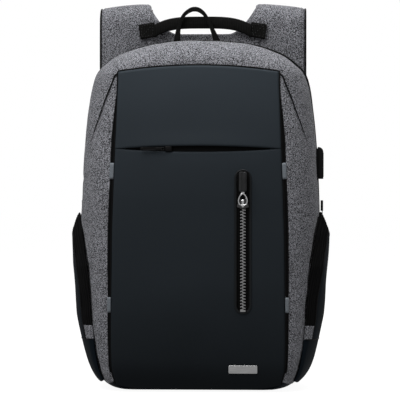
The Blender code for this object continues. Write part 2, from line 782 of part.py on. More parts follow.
def make_interior():
    """Laptop sleeve on the back panel and a small power bank pocket on the shell's right wall, both open on top."""
    for name, size, centre, slot in (
        ("laptop_sleeve", (0.236, 0.0280, 0.262), (0.0, 0.0473, 0.164), "lining"),
        ("power_bank_pocket", (0.0200, 0.0700, 0.095), (0.1325, 0.006, 0.206), "lining"),
    ):
        mesh = bpy.data.meshes.new(name)
        cage = bmesh.new()
        bmesh.ops.create_cube(cage, size=1.0)
        bmesh.ops.scale(cage, vec=size, verts=cage.verts)
        top = [face for face in cage.faces if face.normal.z > 0.5]
        bmesh.ops.delete(cage, geom=top, context="FACES_ONLY")
        cage.to_mesh(mesh)
        cage.free()
        pocket = part(name, mesh, slot)
        pocket.location = centre
        wall = pocket.modifiers.new("wall", "SOLIDIFY")
        wall.thickness = 0.0022
        wall.offset = -1


make_shell()
make_gusset_strips()
make_front_panel()
make_front_zip()
make_slit_zip()
make_name_plate()
for pocket_name, pocket_side in SIDES:
    make_pocket(pocket_name, pocket_side)
make_usb_port()
make_main_zip_runners()
make_back()
make_straps()
make_handle()
make_hang_loop()
make_interior()
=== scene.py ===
"""Looks of the laptop backpack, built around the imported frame: cloth, padding, webbing, zips and fittings."""
from math import copysign, cos, exp, hypot, pi, radians, sin, sqrt, tau

import bmesh
import bpy
import numpy as np
from mathutils import Matrix, Vector, noise


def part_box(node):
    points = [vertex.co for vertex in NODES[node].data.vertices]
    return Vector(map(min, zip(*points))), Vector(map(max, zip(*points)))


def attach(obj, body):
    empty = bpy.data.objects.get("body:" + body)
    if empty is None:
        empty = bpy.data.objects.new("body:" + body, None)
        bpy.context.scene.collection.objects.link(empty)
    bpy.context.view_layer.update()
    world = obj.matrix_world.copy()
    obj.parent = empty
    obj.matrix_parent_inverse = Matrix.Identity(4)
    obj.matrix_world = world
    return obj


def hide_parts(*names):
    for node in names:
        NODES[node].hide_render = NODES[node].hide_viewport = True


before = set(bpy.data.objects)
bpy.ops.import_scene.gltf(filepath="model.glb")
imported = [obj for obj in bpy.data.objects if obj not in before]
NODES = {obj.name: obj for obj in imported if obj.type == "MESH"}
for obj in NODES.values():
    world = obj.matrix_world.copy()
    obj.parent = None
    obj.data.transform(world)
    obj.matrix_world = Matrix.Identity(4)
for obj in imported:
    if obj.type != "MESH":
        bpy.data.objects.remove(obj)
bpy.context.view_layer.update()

SIDES = (("left", -1), ("right", 1))
ACROSS, DEPTH, UPWARD = (1.0, 0.0, 0.0), (0.0, 1.0, 0.0), (0.0, 0.0, 1.0)
MERGE = 1e-6
COIL_DEPTH = 0.0003
STITCH_LENGTH, STITCH_GAP, STITCH_RADIUS = 0.0028, 0.0012, 0.00032

# ---- camera, light and floor

WHITE = (1.0, 1.0, 1.0, 1.0)
CAMERA_DISTANCE, FRAME_WIDTH, SENSOR = 2.8, 0.5245, 36.0
LIGHTS = (
    ("key", (-0.75, -0.85, 1.45), (0.0, 0.0, 0.36), (0.9, 0.8), 13.5),
    ("fill", (1.5, -1.3, 1.3), (0.0, 0.0, 0.3), (1.0, 1.2), 1.0),
    ("top", (0.1, -0.25, 1.7), (0.0, -0.02, 0.4), (1.2, 0.7), 16.0),
    ("rear", (0.3, 2.2, 1.9), (0.0, 0.0, 0.25), (2.0, 1.2), 30.0),
)


def placed(name, data, place, turn):
    obj = bpy.data.objects.new(name, data)
    bpy.context.scene.collection.objects.link(obj)
    obj.location = place
    obj.rotation_mode = "QUATERNION"
    obj.rotation_quaternion = turn
    return obj


def make_camera(azimuth, elevation, target):
    """A long lens that looks at target from this side and height, in degrees."""
    turn, rise = radians(azimuth), radians(elevation)
    back = Vector((sin(turn) * cos(rise), -cos(turn) * cos(rise), sin(rise)))
    lens = bpy.data.cameras.new("camera")
    lens.sensor_width = SENSOR
    lens.lens = SENSOR * CAMERA_DISTANCE / FRAME_WIDTH
    bpy.context.scene.camera = placed("camera", lens, Vector(target) + back * CAMERA_DISTANCE,
                                      (-back).to_track_quat("-Z", "Y"))


def make_studio():
    """White surroundings for the camera, and softer light than that on the bag, strongest from above left."""
    scene = bpy.context.scene
    scene.view_settings.view_transform = "Standard"
    scene.world = bpy.data.worlds.new("studio")
    scene.world.use_nodes = True
    tree = scene.world.node_tree
    seen, lighting = tree.nodes["Background"], tree.nodes.new("ShaderNodeBackground")
    seen.inputs["Color"].default_value = WHITE
    lighting.inputs["Color"].default_value = WHITE
    lighting.inputs["Strength"].default_value = 0.36
    path, mix = tree.nodes.new("ShaderNodeLightPath"), tree.nodes.new("ShaderNodeMixShader")
    for k, source in enumerate((path.outputs["Is Camera Ray"], lighting.outputs[0], seen.outputs[0])):
        tree.links.new(source, mix.inputs[k])
    tree.links.new(mix.outputs[0], tree.nodes["World Output"].inputs["Surface"])
    for name, place, target, size, power in LIGHTS:
        light = bpy.data.lights.new(name, "AREA")
        light.shape = "RECTANGLE"
        light.size, light.size_y = size
        light.energy = power
        placed(name, light, place, (Vector(target) - Vector(place)).to_track_quat("-Z", "Y"))
    mesh = bpy.data.meshes.new("floor")
    mesh.from_pydata([(-9, -9, 0), (9, -9, 0), (9, 9, 0), (-9, 9, 0)], [], [(0, 1, 2, 3)])
    floor = bpy.data.objects.new("floor", mesh)
    floor.location.z = -0.0005
    floor.visible_diffuse = floor.visible_glossy = False
    scene.collection.objects.link(floor)
    m = Maker("floor", roughness=0.9, specular=0.0)
    m.shader.inputs["Base Color"].default_value = (0.16, 0.16, 0.16, 1.0)
    m.shader.inputs["Emission Color"].default_value = WHITE
    m.shader.inputs["Emission Strength"].default_value = 0.94
    mesh.materials.append(m.material)


# ---- materials


class Maker:
    """A short way to build a material's nodes."""

    def __init__(self, name, roughness=0.8, metallic=0.0, sheen=0.0, specular=0.5):
        self.material = bpy.data.materials.new(name)
        self.material.use_nodes = True
        self.tree = self.material.node_tree
        self.shader = self.tree.nodes["Principled BSDF"]
        self.shader.inputs["Roughness"].default_value = roughness
        self.shader.inputs["Metallic"].default_value = metallic
        self.shader.inputs["Sheen Weight"].default_value = sheen
        self.shader.inputs["Specular IOR Level"].default_value = specular

    def node(self, kind, inputs, **settings):
        """A node with these settings; each input is linked if it is a socket, and set if it is a value."""
        made = self.tree.nodes.new("ShaderNode" + kind)
        for key, value in settings.items():
            setattr(made, key, value)
        for key, value in inputs.items():
            if isinstance(value, bpy.types.NodeSocket):
                self.tree.links.new(value, made.inputs[key])
            else:
                made.inputs[key].default_value = value
        return made

    def coords(self, scale, kind="Object"):
        """Object (metres) or UV (metres along the cloth) coordinates, multiplied by scale on each axis."""
        place = self.node("TexCoord", {}).outputs[kind]
        scale = scale if isinstance(scale, tuple) else (scale,) * 3
        return self.node("Mapping", {"Scale": scale, "Vector": place}).outputs["Vector"]

    def noise(self, vector, detail=2.0, roughness=0.5):
        return self.node("TexNoise", {"Scale": 1.0, "Detail": detail, "Roughness": roughness,
                                      "Vector": vector}).outputs["Fac"]

    def wave(self, vector, direction="X", distortion=0.0):
        return self.node("TexWave", {"Scale": 1.0, "Distortion": distortion, "Detail": 0.0, "Vector": vector},
                         bands_direction=direction).outputs["Fac"]

    def cells(self, scale, randomness=1.0):
        return self.node("TexVoronoi", {"Scale": scale, "Randomness": randomness, "Vector": self.coords(1)},
                         feature="F1").outputs["Distance"]

    def math(self, operation, a, b):
        return self.node("Math", {0: a, 1: b}, operation=operation).outputs[0]

    def mixed(self, a, share_a, b, share_b):
        return self.math("ADD", self.math("MULTIPLY", a, share_a), self.math("MULTIPLY", b, share_b))

    def color(self, fac, *stops):
        """Base colour by the value of fac: each stop is (position, (r, g, b))."""
        made = self.node("ValToRGB", {"Fac": fac})
        elements = made.color_ramp.elements
        while len(elements) < len(stops):
            elements.new(0.5)
        for element, (position, color) in zip(elements, stops):
            element.position = position
            element.color = (*color, 1.0)
        self.tree.links.new(made.outputs["Color"], self.shader.inputs["Base Color"])

    def roughness(self, fac, low, high):
        made = self.node("MapRange", {"To Min": low, "To Max": high, "Value": fac})
        self.tree.links.new(made.outputs["Result"], self.shader.inputs["Roughness"])

    def bump(self, height, distance, strength=1.0, after=None):
        """Adds relief, on top of an earlier one if there is one, and gives the finished material back."""
        inputs = {"Distance": distance, "Strength": strength, "Height": height}
        made = self.node("Bump", inputs | ({"Normal": after} if after else {}))
        self.normal = made.outputs["Normal"]
        self.tree.links.new(self.normal, self.shader.inputs["Normal"])
        return self.material


def gray(value, tint):
    return tuple(value * t for t in tint)


def melange(name, dark, light):
    """Heathered cloth: slubs of light and dark yarn along and across, on a plain weave."""
    m = Maker(name, roughness=0.95, sheen=0.05, specular=0.12)
    along = m.noise(m.coords((640, 640, 1700)), detail=1.0, roughness=0.6)
    across = m.noise(m.coords((1700, 1700, 640)), detail=1.0, roughness=0.6)
    cloudy = m.math("MULTIPLY", m.math("SUBTRACT", m.noise(m.coords(60)), 0.5), 0.04)
    yarn = m.math("ADD", m.mixed(along, 0.5, across, 0.5), cloudy)
    cool = (0.97, 0.98, 1.07)
    middle = dark + (light - dark) * 0.3
    m.color(yarn, (0.45, gray(dark, cool)), (0.5, gray(middle, cool)), (0.55, gray(light, cool)))
    weave = m.math("ADD", m.wave(m.coords(290, "UV")), m.wave(m.coords(290, "UV"), "Y"))
    m.bump(weave, 0.00025, 0.35)
    return m.bump(yarn, 0.0005, 0.6, m.normal)


def coated(name, color, roughness=0.55, specular=0.15, foot=1.0, top=0.42):
    """Smooth coated cloth with a fine grain, faintly uneven; painted shade may darken its colour to foot times
    at the bottom.
    """
    m = Maker(name, roughness=roughness, specular=specular)
    uneven = m.noise(m.coords(14), detail=3.0)
    grain = m.noise(m.coords(1400), detail=1.0)
    # Painted shade: the colour darkens with height, from the top down to foot times at the bottom, for the
    # lower light there.
    if foot < 1.0:
        height = m.node("SeparateXYZ", {0: m.coords((1, 1, 1 / top))}).outputs["Z"]
        fac = m.math("ADD", height, m.math("MULTIPLY", m.math("SUBTRACT", uneven, 0.5), 0.1))
        m.color(fac, (0.03, gray(foot, color)), (0.35, gray(foot + (1 - foot) * 0.45, color)),
                (0.7, gray(foot + (1 - foot) * 0.62, color)), (0.98, color))
    else:
        m.color(uneven, (0.35, gray(0.9, color)), (0.65, gray(1.1, color)))
    m.roughness(grain, roughness - 0.06, roughness + 0.06)
    return m.bump(grain, 0.00012, 0.5)


def webbing(name, color, pitch=0.0024):
    """Woven webbing: ribs across the band, finer lines along it."""
    m = Maker(name, roughness=0.75, specular=0.08)
    wide = pi / pitch / 10
    ribs = m.wave(m.coords((wide, wide, 1), "UV"))
    weave = m.math("MULTIPLY", ribs, m.wave(m.coords((wide * 1.6, wide * 1.6, 1), "UV"), "Y"))
    fuzzy = m.mixed(weave, 0.6, m.noise(m.coords(900)), 0.4)
    m.color(fuzzy, (0.15, gray(0.55, color)), (0.75, gray(1.7, color)))
    return m.bump(weave, 0.0005, 0.7)


def knit(name, color):
    """Stretch knit with fine vertical ribs."""
    m = Maker(name, roughness=0.9, specular=0.05)
    ribs = m.wave(m.coords((95, 95, 1), "UV"), "Y", distortion=0.4)
    both = m.mixed(ribs, 0.7, m.wave(m.coords((190, 190, 1), "UV")), 0.3)
    m.color(both, (0.1, gray(0.45, color)), (0.9, gray(1.6, color)))
    return m.bump(both, 0.0006, 0.6)


def air_mesh(name, color=(0.018, 0.018, 0.019)):
    """Spacer mesh: a net of round holes over a dark foam."""
    m = Maker(name, roughness=0.9, sheen=0.05, specular=0.15)
    holes = m.cells(330.0, 0.18)
    m.color(holes, (0.2, gray(0.15, color)), (0.42, gray(1.3, color)), (0.7, gray(1.9, color)))
    return m.bump(holes, 0.0012, 0.8)


def lining(name, color=(0.055, 0.055, 0.06)):
    m = Maker(name, roughness=0.75, sheen=0.1)
    grid = m.math("MULTIPLY", m.wave(m.coords(120)), m.wave(m.coords(120), "Z"))
    m.color(grid, (0.0, gray(0.8, color)), (1.0, gray(1.15, color)))
    return m.bump(grid, 0.0002, 0.5)


def plastic(name, color, roughness=0.42):
    m = Maker(name, roughness=roughness, specular=0.22)
    wear = m.noise(m.coords(160), detail=4.0)
    m.color(wear, (0.35, gray(0.9, color)), (0.7, gray(1.25, color)))
    m.roughness(wear, roughness - 0.05, roughness + 0.08)
    return m.bump(m.noise(m.coords(1800)), 0.00006, 0.6)


def metal(name, color, roughness=0.3, brushed=700):
    m = Maker(name, roughness=roughness, metallic=1.0)
    lines = m.noise(m.coords(brushed), detail=3.0)
    m.color(lines, (0.3, gray(0.82, color)), (0.7, gray(1.12, color)))
    m.roughness(lines, roughness - 0.08, roughness + 0.12)
    return m.bump(lines, 0.00005, 0.4)


def reflective(name):
    """Reflective tape: tiny glass beads in rows under a clear film."""
    m = Maker(name, roughness=0.45, specular=0.3)
    beads = m.cells(1500.0)
    m.color(beads, (0.2, (0.19, 0.21, 0.235)), (0.7, (0.11, 0.125, 0.14)))
    return m.bump(beads, 0.0001, 0.4)


GREY = melange("grey_melange", 0.006, 0.36)
GREY_DARK = melange("grey_melange_strap", 0.006, 0.34)
# Painted shade: the panel's colour is darkened towards its bottom, to 0.27 times at the hem.
PANEL = coated("navy_panel_painted_shade", (0.03, 0.0375, 0.045), 0.55, 0.05, 0.27)
NAVY = coated("navy_pocket", (0.0045, 0.0075, 0.011), 0.62, 0.05)
RIM = coated("zip_rim", (0.0055, 0.007, 0.0085), 0.4, 0.22)
GLOSS = plastic("puller_plastic", (0.02, 0.0205, 0.0215), 0.22)
KNIT = knit("black_stretch", (0.004, 0.004, 0.0042))
WEBBING = webbing("black_webbing", (0.005, 0.005, 0.0046))
TAPE = webbing("zip_tape", (0.0035, 0.0035, 0.0036), 0.0012)
MESH = air_mesh("air_mesh")
LINING = lining("lining")
PIPING = coated("black_piping", (0.003, 0.003, 0.0033), 0.6, 0.12)
PLASTIC = plastic("black_plastic", (0.004, 0.004, 0.0042))
RUBBER = plastic("black_soft_plastic", (0.0035, 0.0035, 0.0038), 0.5)
GUNMETAL = metal("gunmetal", (0.5, 0.5, 0.505), 0.3)
# Painted shade: a darker copy of the metal that stands in for the dark reflections inside the front slider's
# ring.
SHADED_SLIDER_METAL = metal("slider_metal_painted_shade", (0.1, 0.1, 0.102), 0.3)
SILVER = metal("silver_metal", (0.8, 0.8, 0.81), 0.16)
BRUSHED = metal("brushed_plate", (0.62, 0.62, 0.625), 0.36, (60, 60, 2600))
REFLECTIVE = reflective("reflective_tape")
THREAD = lining("thread", (0.006, 0.006, 0.0065))

# ---- the bag's surface, as the frame has it

BODY_OUTLINE = [
    (0.0, 0.0), (0.06, 0.0), (0.098, 0.0), (0.12, 0.006), (0.1335, 0.022), (0.142, 0.055), (0.149, 0.115),
    (0.1545, 0.205), (0.152, 0.293), (0.146, 0.362), (0.137, 0.404), (0.123, 0.4215), (0.1, 0.4365),
    (0.06, 0.448), (0.0, 0.452),
]
RIM_OUTLINE = [
    (0.0, 0.003), (0.055, 0.003), (0.092, 0.004), (0.106, 0.012), (0.1105, 0.028), (0.1115, 0.058),
    (0.1112, 0.115), (0.11, 0.203), (0.107, 0.29), (0.1045, 0.357), (0.1032, 0.395), (0.1015, 0.4075),
    (0.083, 0.4115), (0.05, 0.4155), (0.0, 0.418),
]
REAR_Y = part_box("main_zip_tape")[1].y
SHELL_REAR_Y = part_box("main_shell")[1].y
BODY_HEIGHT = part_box("main_shell")[1].z
CORNER_Y = -0.005
FRONT_Y = -0.078
BASE_END = 0.222
PANEL_RISE = 0.0029
PANEL_CROWN = 0.005


def bell(distance, width):
    return exp(-((distance / width) ** 2))


def clamp(value):
    return min(max(value, 0.0), 1.0)


def span(low, high, count):
    return [low + (high - low) * i / count for i in range(count + 1)]


def curve(four, t):
    """Point at t, 0 to 1, between the middle two of four points on a Catmull-Rom curve."""
    before, start, end, after = four
    bend = 2 * before - 5 * start + 4 * end - after
    twist = 3 * start - before - 3 * end + after
    return 0.5 * (2 * start + (end - before) * t + bend * t**2 + twist * t**3)


def half_outline(keys, a):
    """Point at fraction a of a half outline: a curve through its keys, mirrored past both ends."""
    last = len(keys) - 1
    position = clamp(a) * last
    i = min(int(position), last - 1)

    def key(k):
        if 0 <= k <= last:
            return np.array(keys[k])
        x, z = keys[-k] if k < 0 else keys[2 * last - k]
        return np.array((-x, z))

    x, z = curve([key(k) for k in range(i - 1, i + 3)], position - i)
    return x, max(z, keys[0][1])


def around(keys, q):
    """The whole outline: q is 0 at the bottom centre, 1 at the top centre, and above 1 on the left side."""
    q %= 2.0
    x, z = half_outline(keys, q if q <= 1 else 2 - q)
    return (x if q <= 1 else -x), z


def front_y(z):
    lean = 0.016 * (max(z - 0.245, 0.0) / 0.17) ** 1.5
    tuck = 0.012 * (max(0.04 - z, 0.0) / 0.04) ** 2
    return FRONT_Y + lean + tuck


def body(q, v):
    """Body surface: v runs along the depth to CORNER_Y at 0.5, then rounds over to the front rim at 1."""
    wide_x, wide_z = around(BODY_OUTLINE, q)
    if v <= 0.5:
        return Vector((wide_x, REAR_Y + (CORNER_Y - REAR_Y) * 2 * v, wide_z))
    rim_x, rim_z = around(RIM_OUTLINE, q)
    turn = (v - 0.5) * pi
    inward = 1 - cos(turn)
    deep = CORNER_Y + (front_y(rim_z) - CORNER_Y) * sin(turn)
    return Vector((wide_x + (rim_x - wide_x) * inward, deep, wide_z + (rim_z - wide_z) * inward))


def body_offset(q, v, height):
    step = 0.002
    across = body(q + step, v) - body(q - step, v)
    along = body(q, min(v + step, 1.0)) - body(q, max(v - step, 0.0))
    return body(q, v) + across.cross(along).normalized() * height


def v_at(y):
    return 0.5 * (REAR_Y - y) / (REAR_Y - CORNER_Y)


SAMPLES = [i / 400 for i in range(401)]
SAMPLE_HEIGHTS = [half_outline(BODY_OUTLINE, a)[1] for a in SAMPLES]


def q_at(z, side):
    a = float(np.interp(z, SAMPLE_HEIGHTS, SAMPLES))
    return a if side > 0 else 2 - a


def rim_half_width(z):
    side = RIM_OUTLINE[3:11]
    return float(np.interp(z, [key[1] for key in side], [key[0] for key in side]))


def ripple(point, size, height, seed=0.0):
    """Soft unevenness of cloth: smooth noise of this size and height, both in metres."""
    place = Vector(point) / size + Vector((seed, seed * 0.7, 0.0))
    return noise.noise(place) * height


# ---- mesh helpers


def add(name, mesh, material, rides="bag", node=None):
    """A visible piece of this mesh, riding on a body and standing for a frame node if one is named."""
    obj = bpy.data.objects.new(name, mesh)
    bpy.context.scene.collection.objects.link(obj)
    mesh.materials.append(material)
    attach(obj, rides)
    if node:
        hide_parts(node)
    return obj


def box_of(node):
    """The low corner, high corner and middle of a frame node's box."""
    low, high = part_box(node)
    return low, high, (low + high) / 2


def grid_mesh(name, rows, closed=False):
    """A quad mesh over rows of points, with UVs in metres along the cloth."""
    points = np.array([[tuple(point) for point in row] for row in rows])
    nu, nv = points.shape[:2]
    runs = np.zeros((nu, nv, 2))
    runs[1:, :, 0] = np.cumsum(np.linalg.norm(np.diff(points, axis=0), axis=2), axis=0)
    runs[:, 1:, 1] = np.cumsum(np.linalg.norm(np.diff(points, axis=1), axis=2), axis=1)
    runs[:, :, 1] -= runs[:, nv // 2, 1][:, None]
    runs[:, :, 0] -= runs[nu // 2, :, 0][None, :]
    faces = []
    spots = []
    columns = nv if closed else nv - 1
    for i in range(nu - 1):
        for j in range(columns):
            k = (j + 1) % nv
            corners = ((i, j), (i + 1, j), (i + 1, k), (i, k))
            faces.append(tuple(a * nv + b for a, b in corners))
            for a, b in corners:
                u, v = runs[a, b]
                if k == 0 and b == 0:
                    v = runs[a, nv - 1, 1] + np.linalg.norm(points[a, 0] - points[a, nv - 1])
                spots.append((u, v))
    mesh = bpy.data.meshes.new(name)
    mesh.from_pydata(points.reshape(-1, 3).tolist(), [], faces)
    layer = mesh.uv_layers.new(name="UVMap")
    layer.data.foreach_set("uv", np.array(spots, dtype=np.float32).ravel())
    return mesh


def facing_out(mesh, middle):
    total = sum(face.normal.dot(face.center - middle) * face.area for face in mesh.polygons)
    if total < 0:
        mesh.flip_normals()


def skin(name, rows, thickness, material, rides="bag", node=None):
    """A sheet of cloth over a grid of points, thickened towards the bag's middle."""
    mesh = grid_mesh(name, rows)
    facing_out(mesh, Vector((0.0, 0.0, 0.22)))
    mesh.shade_smooth()
    obj = add(name, mesh, material, rides, node)
    solid = obj.modifiers.new("thickness", "SOLIDIFY")
    solid.thickness = thickness
    solid.offset = -1
    return obj


def close_up(mesh, joined=False, sharp=None):
    """Fills the open ends of a closed grid, or joins ends that meet, and turns its faces outward."""
    cage = bmesh.new()
    cage.from_mesh(mesh)
    if joined:
        bmesh.ops.remove_doubles(cage, verts=cage.verts, dist=MERGE)
    else:
        bmesh.ops.holes_fill(cage, edges=[edge for edge in cage.edges if edge.is_boundary])
    bmesh.ops.recalc_face_normals(cage, faces=cage.faces)
    cage.to_mesh(mesh)
    cage.free()
    mesh.shade_smooth()
    if sharp:
        mesh.set_sharp_from_angle(angle=radians(sharp))


def ring(points, shape="round"):
    """Unit cross-sections: a circle, or a flat band with round edges, as (a, b) from -0.5 to 0.5."""
    if shape == "round":
        turns = [tau * k / points for k in range(points)]
        return [(0.5 * cos(turn), 0.5 * sin(turn)) for turn in turns]
    power = {"band": 0.28, "pad": 0.62}[shape]
    made = []
    for k in range(points):
        turn = tau * (k + 0.5) / points
        c, s = cos(turn), sin(turn)
        made.append((0.5 * copysign(abs(c) ** power, c), 0.5 * copysign(abs(s) ** power, s)))
    return made


def resample(points, count, ends=True):
    """count points at even distances along a line of points."""
    points = np.array(points, dtype=float)
    run = np.concatenate([[0], np.cumsum(np.linalg.norm(np.diff(points, axis=0), axis=1))])
    even = np.linspace(0, run[-1], count, endpoint=ends)
    return [tuple(np.interp(e, run, points[:, axis]) for axis in range(points.shape[1])) for e in even]


def even_loop(points, count):
    """count points at even distances along a closed outline."""
    return resample(points + points[:1], count, ends=False)


def smooth_path(points, count):
    """count + 1 evenly spread points on a Catmull-Rom curve through the given ones."""
    keys = [np.array(point, dtype=float) for point in points]
    keys = [2 * keys[0] - keys[1], *keys, 2 * keys[-1] - keys[-2]]
    steps = np.linspace(0, 1, 24, endpoint=False)
    fine = [curve(keys[i - 1 : i + 3], t) for i in range(1, len(keys) - 2) for t in steps]
    return [Vector(point) for point in resample(fine + [keys[-2]], count + 1)]


def sweep(name, path, side, width, thickness, section, material, rides="bag", node=None, lift=None, loop=False):
    """A solid swept along path, and back to its start in a loop.

    side is its width direction; side, width and thickness are values or functions of 0..1 along the path.
    lift(t, a, b) adds to the distance from the path's middle plane, for folds and seams.
    """
    path = path + path[:1] if loop else path
    last = len(path) - 1

    def at(value, t):
        return value(t) if callable(value) else value

    rows = []
    for i, centre in enumerate(path):
        t = i / last
        if loop:
            run = path[(i + 1) % last] - path[(i - 1) % last]
        else:
            run = path[min(i + 1, last)] - path[max(i - 1, 0)]
        across = Vector(at(side, t))
        across = (across - run * across.dot(run) / run.length_squared).normalized()
        up = run.cross(across).normalized()
        w, h = at(width, t), at(thickness, t)
        rows.append([centre + across * (a * w) + up * (b * h + (lift(t, a, b) if lift else 0.0))
                     for a, b in section])
    mesh = grid_mesh(name, rows, closed=True)
    close_up(mesh, joined=loop, sharp=60)
    return add(name, mesh, material, rides, node)


def tube(name, path, radius, material=PIPING, rides="bag", node=None, sides=8, loop=False):
    return sweep(name, path, (0.13, 0.97, 0.21), 2 * radius, 2 * radius, ring(sides), material, rides, node,
                 loop=loop)


def stitches(name, path, normal):
    """A row of short thread dashes lying along a path on the back."""
    cage = bmesh.new()
    ends = np.cumsum([0.0] + [(b - a).length for a, b in zip(path, path[1:])])
    spots = np.array([tuple(point) for point in path])

    def at(distance):
        return Vector([np.interp(distance, ends, spots[:, axis]) for axis in range(3)])

    pitch = STITCH_LENGTH + STITCH_GAP
    for k in range(max(int(ends[-1] / pitch), 1)):
        a, b = at(k * pitch), at(min(k * pitch + STITCH_LENGTH, ends[-1]))
        along = b - a
        if along.length < STITCH_LENGTH * 0.3:
            continue
        centre = (a + b) / 2 + Vector(normal) * STITCH_RADIUS * 0.4
        place = Matrix.Translation(centre) @ along.to_track_quat("X", "Z").to_matrix().to_4x4()
        made = bmesh.ops.create_uvsphere(cage, u_segments=6, v_segments=4, radius=1.0)
        bmesh.ops.scale(cage, vec=(along.length / 2, STITCH_RADIUS, STITCH_RADIUS), verts=made["verts"])
        bmesh.ops.transform(cage, matrix=place, verts=made["verts"])
    mesh = bpy.data.meshes.new(name)
    cage.to_mesh(mesh)
    cage.free()
    mesh.shade_smooth()
    return add(name, mesh, THREAD, "back")


def block_mesh(cage, size, centre, turn=None, bevel=0.0):
    made = bmesh.ops.create_cube(cage, size=1.0)
    verts = made["verts"]
    bmesh.ops.scale(cage, vec=size, verts=verts)
    if bevel:
        edges = list({edge for vert in verts for edge in vert.link_edges})
        result = bmesh.ops.bevel(cage, geom=edges, offset=bevel, segments=2, affect="EDGES", profile=0.6)
        kept = {vert for vert in verts if vert.is_valid}
        verts = list({vert for face in result["faces"] for vert in face.verts} | kept)
    place = Matrix.Translation(centre)
    if turn is not None:
        place = place @ turn
    bmesh.ops.transform(cage, matrix=place, verts=verts)


def hard_copy(name, node, bevel, material, rides="bag"):
    """A moulded or cast piece: the frame's own shape with its flat faces merged and its edges rounded."""
    mesh = NODES[node].data.copy()
    mesh.name = name
    mesh.materials.clear()
    cage = bmesh.new()
    cage.from_mesh(mesh)
    bmesh.ops.remove_doubles(cage, verts=cage.verts, dist=MERGE)
    bmesh.ops.dissolve_limit(cage, angle_limit=radians(1), verts=cage.verts, edges=cage.edges)
    limit = radians(40)
    sharp = [edge for edge in cage.edges if len(edge.link_faces) == 2 and edge.calc_face_angle(0) > limit]
    bmesh.ops.bevel(cage, geom=sharp, offset=bevel, segments=3, affect="EDGES", profile=0.5, clamp_overlap=True)
    cage.to_mesh(mesh)
    cage.free()
    mesh.shade_smooth()
    mesh.set_sharp_from_angle(angle=radians(50))
    return add(name, mesh, material, rides, node)


def paint(node, material):
    """Gives a frame node, whose own shape is kept, its finished material."""
    obj = NODES[node]
    obj.data.materials.clear()
    obj.data.materials.append(material)
    obj.data.shade_smooth()
    obj.data.set_sharp_from_angle(angle=radians(35))


# ---- shell and base

SEAM_KEYS = [(0.7857, 0.995), (0.74, 0.95), (0.7, 0.918), (0.6625, 0.866), (0.6325, 0.815), (0.61, 0.762),
             (0.59, 0.705), (0.572, 0.64), (0.556, 0.56), (0.546, 0.46)]
SEAM_END_Z = 0.318
STRIP_TOP = 0.388


def corner_seam(side, count=40):
    """Seam from a top corner of the front panel down to the bag's side, as surface parameters."""
    keys = smooth_path([(a, v, 0.0) for a, v in SEAM_KEYS], count)
    return [(key.x if side > 0 else 2 - key.x, key.y) for key in keys]


SEAM_POINTS = np.array([tuple(body(q, v)) for _, side in SIDES for q, v in corner_seam(side)])


def shell_point(q, v):
    place = body(q, v)
    height = ripple(place, 0.055, 0.0016) + ripple(place, 0.02, 0.0005, 4.0)
    near = float(np.min(np.linalg.norm(SEAM_POINTS - np.array(place), axis=1)))
    height -= 0.0012 * bell(near, 0.0045)
    height -= 0.0012 * bell(place.y - SHELL_REAR_Y, 0.004)
    height -= 0.0006 * bell(1 - v, 0.03)
    fade = clamp(place.z / 0.03)
    return body_offset(q, v, height * fade + (0.0003 if fade < 1 else 0.0))


def make_shell():
    depth = span(v_at(SHELL_REAR_Y), 0.5, 14) + span(0.5, 1.0, 26)[1:]
    rows = [[shell_point(q, v) for v in depth] for q in span(BASE_END, 2 - BASE_END, 300)]
    shell = skin("shell_cloth", rows, 0.0035, GREY, "bag", "main_shell")
    shell.data.materials.append(LINING)
    shell.modifiers["thickness"].material_offset = 1
    depth = span(0.0, 0.5, 12) + span(0.5, 1.0, 20)[1:]
    rows = [[body(q, v) for v in depth] for q in span(-BASE_END, BASE_END, 100)]
    skin("base_cloth", rows, 0.0035, NAVY, "bag", "base_panel")

    def taper(t):
        return 0.0019 - 0.0016 * t**3

    for hand, side in SIDES:
        path = [body_offset(q, v, 0.0001) for q, v in corner_seam(side, 60)]
        path = [place for place in path if place.z > SEAM_END_Z]
        sweep(f"corner_seam_{hand}", path, DEPTH, taper, taper, ring(10), PIPING)
    path = []
    for q in span(0.215, 1.785, 260):
        crest = clamp((body(q, 0.0).z - 0.365) / 0.05)
        path.append(body_offset(q, v_at(SHELL_REAR_Y - 0.0004), 0.0006 + 0.0022 * crest))
    tube("rear_piping_cord", path, 0.0018, PIPING, "bag", "rear_piping", sides=10)
    tape = span(v_at(REAR_Y - 0.0002), v_at(SHELL_REAR_Y - 0.002), 3)
    rows = [[body_offset(q, v, -0.0003) for v in tape] for q in span(BASE_END, 2 - BASE_END, 260)]
    skin("main_zip_cloth", rows, 0.0011, TAPE, "bag", "main_zip_tape")
    middle = (REAR_Y + SHELL_REAR_Y) / 2 + 0.001
    path = [body_offset(q, v_at(middle), 0.0004) for q in span(0.24, 1.76, 520)]
    sweep("main_zip_coil", path, DEPTH, 0.0034, 0.0018, ring(8), RUBBER,
          lift=lambda t, a, b: COIL_DEPTH * sin(t * 520 * pi))


